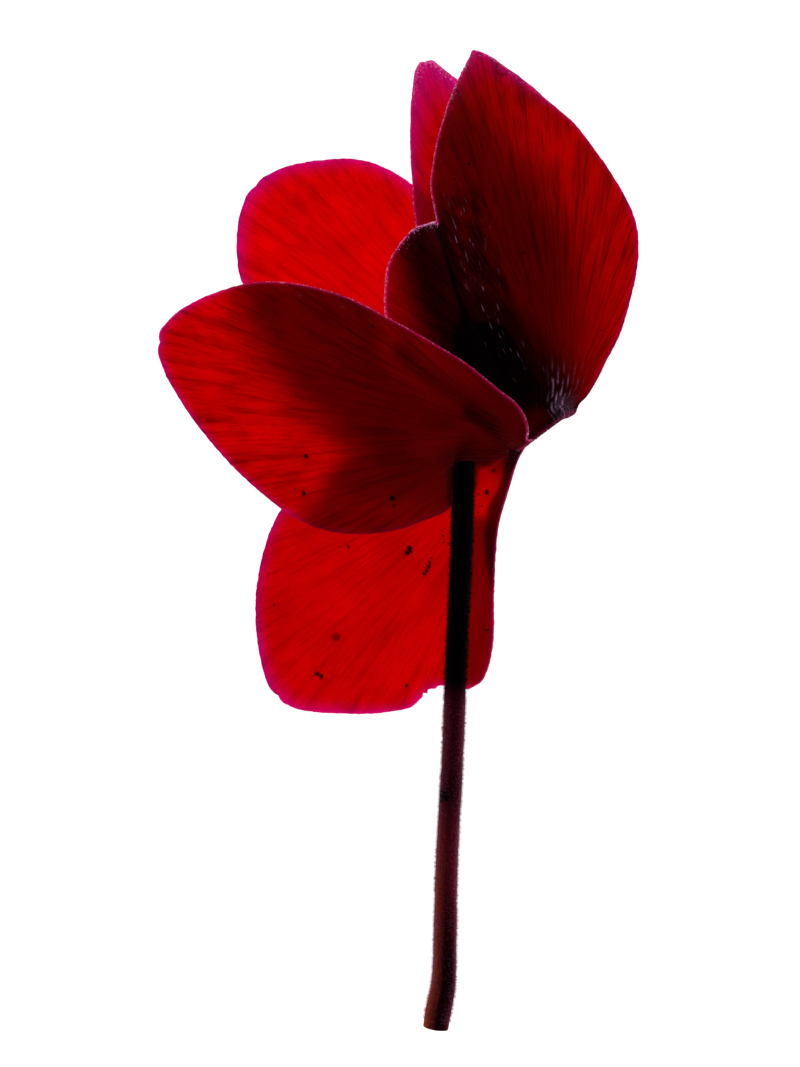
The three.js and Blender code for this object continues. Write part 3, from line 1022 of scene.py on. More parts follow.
@dataclass(frozen=True)
class Shade:
    """A soft-edged area: a painted shade thrown by what lies further back, or a painted faint glow.
    """

    outline: FlatPoints
    soft: float
    strength: float

    def reach(self, seen: np.ndarray) -> np.ndarray:
        """1 well inside the area and 0 well outside it."""
        return ease(-self.soft, self.soft, depth_in(seen, np.array(self.outline)))


@dataclass(frozen=True)
class Grid:
    """One sheet of a petal, rows by columns.

    middle is its mid-surface, u and w say how far along and across each point lies, rim is how
    far it is from the free margins, and is_lobe says that the sheet is the lobe.
    """

    middle: np.ndarray
    u: np.ndarray
    w: np.ndarray
    rim: np.ndarray
    is_lobe: bool


@dataclass(frozen=True)
class Petal:
    """One petal: a blade through three lines, which rolls out of the mouth at its base.

    station, roll and spread are in degrees. left, middle and right run from the fold to the tip.
    lift raises the right end of the rolled base over the next petal's, lean moves that end's fold
    forward, and flared says that the right margin turns away at once where it leaves the roll.
    hidden_by names petals behind this one, how strongly each throws painted shade on it and how
    softly, shadows add more painted shade and embers a painted glow. blush is how far the magenta
    reaches in from the rim, and tip_blush how far from the tip. hoar is how strong the painted pale
    highlight on the left and the right margin is, beyond rim_highlight_from, and fold_rim_highlight
    that on the fold.
    mottle is how pale the tip's flecks are, from where, and how far in from the rim they reach;
    they glow a little, as a painted highlight. flakes says where painted glints lie. base_shade is
    how far the dark base, the throat's colour and painted shade, reaches and how sharply it ends,
    base_fade how far it clears towards the right margin, and torn is a stretch of the left one.
    """

    name: str
    node: str
    station: float
    roll: float
    left: Points
    middle: Points
    right: Points
    seed: int
    anchor: tuple[float, float]
    lobe: Lobe | None = None
    blush: float = 1.4
    tip_blush: float = 3.0
    hidden_by: tuple[tuple[str, float, float], ...] = ()
    shadows: tuple[Shadow | Shade, ...] = ()
    painted_glows: tuple[Shade, ...] = ()
    clarity: float = 1.0
    streak: float = 0.3
    spread: Range = (33.0, 33.0)
    lift: float = 0.0
    lean: float = 0.0
    flared: bool = False
    tip_radius: float = 3.0
    tip_reach: float = 0.25
    base_shade: tuple[float, float] = (0.10, 1.6)
    rim_highlight: tuple[float, float] = (0.25, 0.25)
    rim_highlight_from: float = 0.25
    fold_rim_highlight: float = 0.0
    mottle: tuple[float, float, float] = (0.0, 0.8, 1.0)
    glint_flakes: GlintPlace = GlintPlace.RIGHT_MARGIN
    base_fade: float = 0.0
    torn: Range | None = None
    spots: tuple[Spot, ...] = ()
    rows: int = 150
    columns: int = 96
    roll_rows: int = 14
    thick: float = 0.42
    thin: float = 0.14
    thinning: float = 1.3  # how far in from the rim it is full thickness
    pleats: int = 17
    pleat_height: float = 0.10
    swell_height: float = 0.16
    ruffle_height: float = 0.22
    nibble: float = 0.10
    fan_length: float = 55.0

    def _line(self, points: Points, side: float, shares: np.ndarray) -> np.ndarray:
        """One of the blade's lines, which leaves the rolled base smoothly.

        Args:
            points: the line's own points.
            side: -1 for the left line, 0 for the middle one and 1 for the right one.
            shares: where to read it.

        Returns:
            One point for each share.
        """
        roll = math.radians(self.roll)
        start = self._rolled(np.array([roll]), np.array([side]))[0, 0]
        out = outward(self._bearing(np.array(side)))
        leaving = AXIS * math.cos(roll) + out * math.sin(roll)
        turn_off = [] if self.flared and side > 0 else [start + leaving * LEAVING_LENGTH]
        return line_through(np.vstack([start, *turn_off, points]), shares)

    def _rolled(self, turns: np.ndarray, v: np.ndarray) -> np.ndarray:
        """The rolled base: part of a torus round the flower's axis.

        Args:
            turns: angles through the roll.
            v: places across the petal.

        Returns:
            The points, turns by places.
        """
        radius = RIM_RADIUS + ROLL_RADIUS * (1 - np.cos(turns))[:, None]
        radius = radius + self.lift * ease(0.2, 1.0, v)[None] * (1 - np.cos(turns))[:, None] / 2
        reach = ROLL_RADIUS + self.lean * ease(0.1, 1.0, v)
        forward = RIM_GAP + reach[None] * np.sin(turns)[:, None]
        return (MOUTH + forward[..., None] * AXIS
                + radius[..., None] * outward(self._bearing(v))[None])

    def _bearing(self, v: np.ndarray) -> np.ndarray:
        """The angle round the flower's axis at places across the rolled base."""
        left, right = self.spread
        return np.radians(self.station + v * (left + right) / 2 + v * v * (right - left) / 2)

    def blade(self, u: np.ndarray, v: np.ndarray) -> np.ndarray:
        """The blade's mid-surface: a parabola across three lines, laid on the table.

        Args:
            u: shares along the blade.
            v: places across it, from -1 on the left to 1.

        Returns:
            The points, shares by places.
        """
        sides = ((self.left, -1.0), (self.middle, 0.0), (self.right, 1.0))
        lines = [self._line(points, side, u) for points, side in sides]
        return on_table(self._rounded(across_three(lines, v)))

    def _rounded(self, middle: np.ndarray) -> np.ndarray:
        """Rounds the corner at the tip.

        What lies in the corner is drawn in to an arc that both margins touch: its distance from
        the arc's centre shrinks with the cosine of how far off its bearing is.

        Args:
            middle: the blade's mid-surface.

        Returns:
            The same surface with a round tip.
        """
        tip = np.array(self.middle[-1])[:2]
        sides = unit(np.array([self.left[-2], self.right[-2]])[:, :2] - tip)
        inward = unit(sides.sum(0))
        half = math.acos(float(np.clip((sides[0] * inward).sum(), -1, 1)))
        centre = tip + inward * (self.tip_radius / math.sin(half) - self.tip_reach)
        reach = middle[..., :2] - centre
        off = np.arccos(np.clip(-(unit(reach) * inward).sum(-1), -1, 1))
        share = np.cos(np.maximum(math.pi / 2 - half - off, 0.0))[..., None]
        return np.concatenate([centre + reach * share, middle[..., 2:]], -1)

    def folded(self, u: np.ndarray, v: np.ndarray) -> np.ndarray:
        """The lobe's mid-surface, which runs from its free edge to the crease.

        Args:
            u: shares of the crease's length.
            v: places across the lobe.

        Returns:
            The points, shares by places.
        """
        lobe = self.lobe
        crease = self.blade(lobe.crease[0] + (lobe.crease[1] - lobe.crease[0]) * u,
                            np.array([lobe.edge]))
        lines = [line_through(np.array(side), u) for side in (lobe.left, lobe.middle)]
        return on_table(across_three([*lines, crease[:, 0]], v))

    def outlines(self) -> list[np.ndarray]:
        """The outlines of the blade and the lobe, as seen from above.

        Returns:
            The corners of each, X and Y a row.
        """
        u, v = np.linspace(0, 1, 60), np.linspace(-1, 1, 9)
        shapes = [self.blade(u, v)] + ([self.folded(u, v)] if self.lobe else [])
        return [as_seen(np.vstack([s[:, 0], s[-1, 1:-1], s[::-1, -1], s[0, -2:0:-1]]))
                for s in shapes]

    def build(self, others: dict[str, Petal], finish: PetalFinish) -> bpy.types.Object:
        """Builds and dresses the petal.

        Args:
            others: every petal by name, to find what lies behind this one.
            finish: the finish of all petals.

        Returns:
            The piece.
        """
        surface = Surface()
        v = np.linspace(-1, 1, self.columns + 1)
        turns = np.linspace(0, math.radians(self.roll), self.roll_rows, endpoint=False)
        u = np.linspace(0, 1, self.rows + 1)
        middle = np.concatenate([self._rolled(turns, v), self.blade(u, v)])
        along = np.concatenate([np.zeros(self.roll_rows), u])
        self._add_sheet(surface, self._grid(middle, along, v, False), others)
        if self.lobe:
            v = np.linspace(-1, 1, self.lobe.columns + 1)
            u = np.linspace(0, 1, self.lobe.rows + 1)
            self._add_sheet(surface, self._grid(self.folded(u, v), 1 - u, v, True), others)
        material = finish.dress(f"{self.name}_skin", self.spots, self.streak)
        return surface.piece(self.name, Slot.PETAL, material, self.node)

    def _grid(self, middle: np.ndarray, along: np.ndarray, v: np.ndarray, is_lobe: bool) -> Grid:
        """Takes down where each point of a sheet lies.

        Args:
            middle: the mid-surface.
            along: how far along the petal each row lies.
            v: how far across each column lies.
            is_lobe: whether the sheet is the lobe.

        Returns:
            The sheet's grid.
        """
        shape = middle.shape[:2]
        if is_lobe:
            free = [middle[:, 0]]
        else:
            first = int(np.searchsorted(along, self.lobe.crease[0])) if self.lobe else 0
            free = [middle[first:, 0], middle[-1], middle[:, -1]]
        flat = middle.reshape(-1, 3)
        rim = np.min([off_line(flat, edge) for edge in free], axis=0).reshape(shape)
        u, w = np.broadcast_to(along[:, None], shape), np.broadcast_to(v[None], shape)
        return Grid(middle, u, w, rim, is_lobe)

    def _add_sheet(self, surface: Surface, grid: Grid, others: dict[str, Petal]) -> None:
        """Adds one sheet with its relief, its thickness and its values at the points.

        Args:
            surface: where it is added.
            grid: the sheet.
            others: every petal by name.
        """
        shaped = self._nibbled(grid)
        shaped = shaped + normals(shaped) * self._relief(grid)[..., None]
        thickness = self.thin + (self.thick - self.thin) * ease(0.0, self.thinning, grid.rim)
        points, faces = sheet(shaped, thickness, lowest=0.0)
        values = self._values(grid, self._behind(shaped, others, grid.is_lobe))
        surface.add(points, faces, **{key: on_both_faces(values[key]) for key in PETAL_VALUES})

    def _relief(self, grid: Grid) -> np.ndarray:
        """How far the blade stands off its mid-surface.

        Pleats run out of the base, a slow swell lies over the whole and a ruffle follows the
        free margins. All fade at the tip, and the last two at the crease.

        Args:
            grid: the sheet.

        Returns:
            A height at each point.
        """
        u, w = grid.u, grid.w
        swell = self.swell_height * waves(w * 0.7 + 0.2 * u, self.seed + 1, 3) * ease(0.05, 0.3, u)
        ruffle = self.ruffle_height * waves(u * 3.0 + w, self.seed + 2, 4)
        ruffle = ruffle * np.exp(-grid.rim / 1.6) * ease(0.12, 0.3, u)
        swell, ruffle = swell * ease(1.0, 0.93, u), ruffle * ease(1.0, 0.93, u)
        if grid.is_lobe:
            return swell * ease(1.0, 0.6, w) + ruffle * ease(1.0, 0.6, w)
        pleats = np.cos(math.pi * self.pleats * w + waves(w, self.seed, 4)) * self.pleat_height
        return pleats * np.exp(-u / 0.14) + swell + ruffle

    def _values(self, grid: Grid, behind: np.ndarray) -> dict[str, np.ndarray]:
        """What the finish reads at the points.

        Args:
            grid: the sheet.
            behind: how much painted shade each point has, for what lies behind.

        Returns:
            The values by name.
        """
        u, w, rim = grid.u, grid.w, grid.rim
        seen = as_seen(grid.middle)
        fan, away = self._fan(seen)
        upper, fold = self._fold_bands(grid)
        upper = upper * (u < ROLLED_END)

        # Painted shade dims the magenta rim, and the upper side of the roll gets a painted magenta
        # highlight.
        shaded = np.clip(1.7 * (1 - (1 - behind) / self.clarity), 0.0, 1.0)
        reach = self.blush + self.tip_blush * ease(0.75, 1.0, u)
        blush = np.exp(-((rim / reach) ** 1.3)) * ease(0.0, 0.12, u)
        blush = np.maximum(blush, 0.6 * upper)
        blush = blush * (1 - 0.85 * shaded * (rim < 3.0) * (u > ROLLED_END))

        # The dark base is partly the throat's own colour and partly painted shade from the tube
        # behind: it clears on the upper side of the roll and towards the right margin, where light
        # falls.
        base_reach, base_power = self.base_shade
        dark_base_and_shade = 0.0 if grid.is_lobe else np.exp(-((u / base_reach) ** base_power))
        dark_base_and_shade = dark_base_and_shade * (1 - 0.5 * upper) * (1 - self.base_fade * ease(0.25, 0.75, w))

        # Painted pale highlights along the margins and the fold; the tip's pale flecks also glow a
        # little.
        start = ease(self.rim_highlight_from, self.rim_highlight_from + 0.2, u)
        rim_highlight = np.where(w < 0, self.rim_highlight[0], self.rim_highlight[1]) * bell(rim, 0.0, 0.26) * start
        flecks, flecks_from, flecks_reach = self.mottle
        mottle = flecks * ease(flecks_from, 1.0, u) * np.exp(-rim / flecks_reach)
        flat = seen.reshape(-1, 2)
        # A painted glow: the base gives off a deep red light where light would come round through
        # it.
        painted_glow = sum((glow.strength * glow.reach(flat) for glow in self.painted_glows), np.zeros(len(flat)))
        return {
            "fan": fan + (2.5 if grid.is_lobe else 0.0), "away": away, "behind": behind,
            "glint_zone": self._glint_zone(grid), "rim_highlight": np.maximum(rim_highlight, self.fold_rim_highlight * fold),
            "mottle": mottle, "pleat": self._pleat_highlights(grid), "painted_glow": painted_glow,
            "dark_base_and_shade": dark_base_and_shade, "blush": blush, "across": w, "along": u,
        }

    def _fold_bands(self, grid: Grid) -> tuple[np.ndarray, np.ndarray]:
        """Two bands across the rolled base, with one number a row, for painted highlights.

        Args:
            grid: the sheet.

        Returns:
            The base's upper side, which gets a painted magenta highlight, and the fold as seen from
            above, which gets a painted pale one.
        """
        row = np.arange(len(grid.u))[:, None]
        if grid.is_lobe:
            return np.zeros(row.shape), np.zeros(row.shape)
        turn = math.radians(self.roll) * row / self.roll_rows
        fold = bell(ROLL_RADIUS * (1 - np.sin(turn)), 0.0, 0.30) * (row < self.roll_rows)
        return bell(row, 0.75 * self.roll_rows, 1.6), fold

    def _nibbled(self, grid: Grid) -> np.ndarray:
        """Roughens the free margins a little in their own plane, and more where one is torn.

        Args:
            grid: the sheet.

        Returns:
            The mid-surface with rough margins.
        """
        draw = np.random.default_rng(self.seed + 5)
        middle, along = grid.middle, grid.u[:, 0]
        shaped = middle.copy()
        for edge, inner in ((0, 1), (-1, -2)):
            if grid.is_lobe and edge == -1:
                continue
            bite = draw.uniform(0, self.nibble, len(middle)) * ease(0.1, 0.2, along)
            if self.torn and edge == 0:
                in_tear = (along > self.torn[0]) & (along < self.torn[1])
                bite = bite + draw.uniform(-0.25, 0.35, len(middle)) * in_tear
            inward = unit(middle[:, inner] - middle[:, edge])
            shaped[:, edge] = middle[:, edge] + inward * bite[:, None]
        return shaped

    def _fan(self, seen: np.ndarray) -> tuple[np.ndarray, np.ndarray]:
        """The veins' fan, which spreads from the anchor.

        Args:
            seen: where the points show.

        Returns:
            Each point's bearing from the anchor, off the middle, and its distance from it.
        """
        anchor = np.array(self.anchor)
        tip = as_seen(np.array(self.middle[-1:]))[0] - anchor
        reach = seen - anchor
        bearing = np.arctan2(reach[..., 1], reach[..., 0]) - math.atan2(tip[1], tip[0])
        bearing = (bearing + math.pi) % (2 * math.pi) - math.pi
        return bearing, np.linalg.norm(reach, axis=-1) / self.fan_length

    def _behind(self, middle: np.ndarray, others: dict[str, Petal], is_lobe: bool) -> np.ndarray:
        """How much painted shade a petal has, for what lies behind it and beside the lobe's crease.

        Args:
            middle: a sheet's mid-surface.
            others: every petal by name.
            is_lobe: whether the sheet is the lobe.

        Returns:
            The painted shade at each point, from 0 to 1.
        """
        seen = as_seen(middle.reshape(-1, 3))
        light = np.full(len(seen), self.clarity)
        for name, strength, soft in self.hidden_by:
            for outline in others[name].outlines():
                light = light * (1 - strength * ease(-soft, soft, depth_in(seen, outline)))
        for shadow in self.shadows:
            light = light * (1 - shadow.strength * shadow.reach(seen))
        # The folded lobe throws painted shade on the blade, and the lobe is painted dark beside the
        # crease.
        if self.lobe and not is_lobe:
            light = light * (1 - 0.45 * ease(-1.2, 0.8, depth_in(seen, self.outlines()[1])))
        if is_lobe:
            last, first = self.lobe.crease
            crease = self.blade(np.linspace(first, last, 40), np.array([self.lobe.edge]))[:, 0]
            off = off_line(seen, as_seen(crease))
            light = light * (1 - 0.82 * ease(9.5, 3.5, off)) * (1 - 0.85 * ease(2.0, 0.4, off))
        return (1 - light).reshape(middle.shape[:2])

    def _glint_zone(self, grid: Grid) -> np.ndarray:
        """Where painted glints show: pale flecks that glow.

        Args:
            grid: the sheet.

        Returns:
            How thick they are at each point, from 0 to 1.
        """
        u, w = grid.u, grid.w
        if self.glint_flakes is GlintPlace.TIP:
            return 0.35 * ease(0.55, 0.8, u)
        if self.glint_flakes is GlintPlace.RIGHT_MARGIN or grid.is_lobe:
            return 0.2 * np.exp(-u / 0.2) + 0.4 * ease(0.4, 1.0, w)
        crease = bell(w, -0.72, 0.34) * ease(0.72, 0.5, u) * ease(0.08, 0.16, u)
        beside = 0.7 * bell(w, -0.1, 0.5) * ease(0.34, 0.12, u) * ease(0.05, 0.12, u)
        return np.maximum(np.maximum(crease, beside), 0.35 * ease(0.2, -0.6, w))

    def _pleat_highlights(self, grid: Grid) -> np.ndarray:
        """Painted highlights: pale broken lines on the ridges of the pleats, beside the creased
        petal's base.

        Args:
            grid: the sheet.

        Returns:
            How pale each point is, from 0 to 1.
        """
        u, w = grid.u, grid.w
        if self.glint_flakes is not GlintPlace.CREASE or grid.is_lobe:
            return np.zeros_like(u)
        ridge = ease(0.62, 0.97, np.cos(2 * math.pi * (8.0 * w + 0.10 * waves(u * 5 + w, 7, 3))))
        broken = ease(-0.5, 0.5, waves(u * 17 + w * 5, 8, 3))
        lines = ridge * broken * ease(-0.2, 0.02, w) * ease(0.82, 0.6, w) * ease(0.17, 0.04, u)
        haze = 0.16 * ease(0.0, 0.2, w) * ease(0.95, 0.8, w) * ease(0.07, 0.02, u)
        return np.maximum(lines, haze)


def flower_petals() -> list[Petal]:
    """The five petals, in the order in which they lie over each other.

    Anchors, painted shadows and painted shades are given where they show from above, and the
    rest where it is.

    Returns:
        The petals.
    """
    front_left = Petal(
        name="front_left_petal", node="petal_front_left", station=-50, roll=145, seed=11,
        anchor=(16.9, 15.6),
        left=((14.8, 12.1, 20.7), (13.5, 11.7, 21.3), (10.3, 11.6, 22), (8.2, 11.6, 21.6),
              (7.3, 10.9, 20.5), (7.2, 8.3, 19.5), (7.1, 5.3, 19.5), (2.8, 3.1, 21),
              (-2.1, 1.7, 22.5), (-8.3, 1.6, 24), (-13.8, 3.2, 25), (-21.1, 8.8, 26.5),
              (-27.2, 15.4, 27), (-31.9, 22.4, 26.5), (-33.2, 25.7, 26)),
        middle=((13.8, 15.6, 24.5), (9, 16.6, 26), (2.8, 16.6, 27.5), (-6.9, 18.2, 29),
                (-17.9, 21.3, 29), (-26.9, 24.5, 28), (-33.7, 28.0, 26)),
        right=((17.8, 15.7, 25.3), (17.4, 17.5, 26.0), (16.1, 19.5, 26.4), (13.8, 21.3, 27),
               (8.6, 25.4, 27.5), (1.4, 29.6, 28), (-8.3, 34.5, 28.5), (-17.9, 36.3, 28),
               (-25.5, 34.9, 27), (-30.9, 32.0, 26.5), (-33.0, 29.8, 26)),
        shadows=(Shade(((-14.3, 3.4), (-11.1, 7.7), (-10.4, 9.9), (-8.0, 12.1), (-4.0, 14.1),
                        (-0.9, 14.3), (2.9, 13.1), (10.0, 12.7), (14.3, 10.6), (14.3, 0.6),
                        (0.0, -2.3), (-14.3, -0.1)), 1.9, 0.40),
                 Shade(((5.5, 13.4), (10.0, 16.0), (14.0, 15.5), (19.5, 15.8), (19.5, 10.0),
                        (7.5, 9.5)), 1.5, 0.50),
                 Shade(((-9.4, 9.0), (-7.6, 11.4), (-3.8, 13.6), (-0.9, 13.9), (2.9, 13.0),
                        (10.0, 12.6), (14.0, 10.5), (8.0, 7.2), (0.0, 6.4), (-6.5, 6.8)),
                       2.0, 0.24),
                 Shade(((-22.7, 32.0), (-21.1, 29.1), (-19.6, 26.3), (-17.1, 23.4), (-14.9, 20.6),
                        (-11.7, 17.7), (-7.9, 14.4), (0.0, 12.3), (8.6, 12.7), (12.1, 19.1),
                        (7.1, 21.0), (2.1, 24.1), (-1.1, 28.4), (-2.1, 34.9), (-2.1, 39.1),
                        (-23.6, 39.1)), 4.0, 0.57),
                 Shade(((-2.1, 39.1), (-1.1, 28.4), (2.1, 24.1), (7.1, 21.0), (12.1, 19.1),
                        (18.6, 14.9), (20.0, 23.4), (10.0, 34.9)), 2.4, 0.30),
                 Shadow(((0.3, 27.4), (5.7, 23.4), (12.0, 19.6), (15.6, 16.6)), 0.5, 2.4, 0.38),
                 Shadow(((10.5, 19.0), (14.0, 16.5), (16.6, 14.7)), 0.5, 2.3, 0.80),
                 Shadow(((7.5, 10.6), (7.5, 6.4)), 0.5, 1.3, 0.9)),
        painted_glows=(Shade(((1.0, 33.0), (3.0, 25.5), (9.0, 21.0), (14.0, 17.5), (15.5, 13.0),
                       (19.5, 13.0), (20.0, 24.0)), 1.6, 0.85),),
        clarity=1.03, streak=0.42, base_shade=(0.035, 1.6), flared=True,
        blush=0.6, tip_blush=0.2, spread=(33.0, 20.0), lift=1.1, rim_highlight=(0.0, 0.8), rim_highlight_from=-0.3,
        fold_rim_highlight=0.28, tip_radius=5.0, tip_reach=0.38,
        spots=(Spot(-13.3, 7.1, 0.24), Spot(-12.9, 12.1, 0.20), Spot(-1.1, 6.4, 0.28),
               Spot(-0.9, 5.4, 0.18, 0.6), Spot(3.0, 24.2, 0.2), Spot(-3.8, 30.0, 0.12, 0.8),
               Spot(-20.3, 25.6, 0.12, 0.7)),
    )
    front_right = Petal(
        name="front_right_petal", node="petal_front_right", station=22, roll=172, seed=23,
        anchor=(23.6, 19.9), glint_flakes=GlintPlace.CREASE,
        left=((16.6, 20.2, 25.5), (13.8, 24.1, 26.9), (11, 28.7, 28.2), (8.5, 33.6, 29),
              (6.1, 41.4, 29), (5.1, 44.1, 28.5), (4.4, 47.5, 27), (4.1, 49.6, 26.5),
              (5.5, 57.5, 23), (7.7, 64.2, 18), (10.1, 68.8, 15)),
        middle=((21.1, 22, 26), (20.7, 26.8, 27.5), (20, 32.3, 28.5), (18.9, 41.9, 28.5),
                (16.6, 50.3, 26.5), (13.9, 59.7, 21.5), (10.7, 69.2, 15)),
        right=((24.5, 18.7, 22.3), (24.9, 19.5, 22.2), (25.9, 20.5, 22.1), (27.4, 22.9, 22),
               (28.8, 25.7, 22.3), (30.3, 28.5, 22.5), (32.1, 34.0, 22), (33.2, 39.6, 21),
               (33.1, 43.0, 20.2), (32.0, 47.0, 19.3), (30.1, 50.8, 18.5), (26.3, 56.4, 17.5),
               (23.9, 59.2, 16.9), (20.7, 62.0, 16.2), (17.0, 65.0, 15.4), (13.2, 68.1, 15)),
        lobe=Lobe(
            left=((5, 44.6, 28.2), (3.5, 44.2, 27), (2.1, 43.9, 25.5), (0, 41.8, 23.5),
                  (-1.7, 38.9, 22.5), (-2.2, 35.3, 22), (-2.2, 31.9, 22), (-1.1, 27.7, 22),
                  (2.1, 23.5, 22), (6.9, 20.5, 22.5), (11.8, 18.7, 23.6), (15.8, 18.6, 24)),
            middle=((5, 44.2, 28), (4.4, 43.2, 26), (5, 40.8, 24.5), (6.9, 33.9, 23.2),
                    (8.6, 29.7, 23.5), (11.1, 25.5, 24), (13.8, 21.4, 24.6), (16.5, 18.8, 24.4)),
        ),
        hidden_by=(("back_left_petal", 0.25, 1.4),),
        shadows=(Shadow(((20.0, 16.5), (15.5, 23.0), (12.5, 28.0)), 3.2, 8.6, 0.955),
                 Shade(((11.4, 63.4), (15.4, 57.7), (19.1, 52.0), (22.1, 46.3), (24.0, 40.6),
                        (25.0, 34.9), (25.4, 29.1), (24.6, 24.9), (22.9, 20.6), (5.7, 17.7),
                        (0.0, 49.1), (4.3, 69.1)), 6.0, 0.52),
                 Shadow(((18.0, 50.0), (21.0, 42.0), (22.0, 38.0)), 0.5, 7.0, 0.15)),
        painted_glows=(Shade(((18.0, 15.6), (18.6, 19.0), (20.4, 19.3), (21.4, 18.2), (19.8, 16.0)),
                      1.2, 0.5),),
        streak=0.55, base_fade=0.8, flared=True, lean=0.55, fold_rim_highlight=0.18,
        mottle=(1.0, 0.5, 1.3), blush=0.5, tip_blush=2.9, spread=(62.0, 40.0), lift=0.55,
        rim_highlight=(1.0, 0.35), tip_radius=1.1, tip_reach=1.4,
        spots=(Spot(13.6, 67.2, 0.05), Spot(13.5, 66.8, 0.05), Spot(13.5, 66.3, 0.05),
               Spot(13.7, 65.9, 0.06), Spot(14.1, 65.6, 0.06), Spot(14.5, 65.6, 0.06),
               Spot(14.8, 65.7, 0.05), Spot(15.2, 66.1, 0.05), Spot(9.5, 52.5, 0.12),
               Spot(17.1, 40.1, 0.1), Spot(11.3, 55.2, 0.08, 0.8), Spot(7.6, 50.4, 0.06, 0.8),
               Spot(27.9, 29.6, 0.05, 0.8)),
    )
    back_right = Petal(
        name="back_right_petal", node="petal_back_right", station=94, roll=172, seed=37,
        anchor=(22.0, 20.5), glint_flakes=GlintPlace.TIP,
        left=((21.8, 23.8, 20.9), (19.9, 27.6, 20.2), (15.5, 30.3, 18.6), (11.2, 31.2, 17.5),
              (7, 31.9, 16), (3.5, 33.8, 15), (2.5, 38.5, 14.5), (2.2, 44.8, 14),
              (1.8, 51.2, 13), (1.5, 58.3, 11.5), (2.1, 66.7, 9), (2.8, 68.1, 8.5)),
        middle=((22.1, 23.2, 17), (19.4, 27.3, 13.5), (14.8, 33, 9.5), (11, 41.6, 7),
                (8.8, 51.7, 5.5), (6.8, 61.6, 5), (3.5, 68.3, 8)),
        right=((23.3, 20.5, 14.5), (22.8, 23.8, 11), (22.1, 28.2, 7.5), (20.6, 34.7, 3.2),
               (19.3, 41.9, 0.4), (17.9, 49.1, -0.7), (16.4, 54.8, -0.7), (15, 61.2, 0.6),
               (11.3, 64.6, 2.5), (7.9, 66.2, 4.5), (4.6, 68.5, 7.5)),
        hidden_by=(("back_left_petal", 0.3, 0.8),),
        clarity=0.94, mottle=(1.0, 0.7, 2.2),
        blush=1.7, tip_blush=3.6, rim_highlight=(0.7, 0.4), tip_radius=1.0, tip_reach=0.6,
    )
    back_left = Petal(
        name="back_left_petal", node="petal_back_left", station=166, roll=135, seed=41,
        anchor=(18.5, 18.5),
        left=((20.9, 22.4, 11), (18.4, 28.2, 6.5), (14.9, 36.2, 3), (10, 44, 1.8),
              (5.7, 48.1, 1.5), (-1.1, 53.2, 1.2), (-5.7, 54.9, 1.2), (-10.7, 54.9, 1.2),
              (-16.2, 53.9, 1.6), (-19.4, 52.3, 2)),
        middle=((17.6, 20.1, 10), (12.8, 24.4, 6), (7.1, 29.7, 3), (0, 36.2, 0.6),
                (-7.9, 42, -0.8), (-15, 46.7, -0.4), (-20.8, 51.2, 2)),
        right=((15.5, 16.4, 10.5), (11.3, 18.3, 7), (4.3, 21.2, 3.5), (-4.3, 25.1, 2),
               (-12.8, 29.8, 1.4), (-19.3, 33.7, 1.2), (-22.6, 37.4, 1.2), (-23.3, 41.9, 1.5),
               (-22.9, 46.6, 1.8), (-21.9, 49.6, 2)),
        blush=1.1, tip_blush=0.3, rim_highlight=(0.5, 0.15), tip_radius=7.0, tip_reach=0.3, streak=0.24,
    )
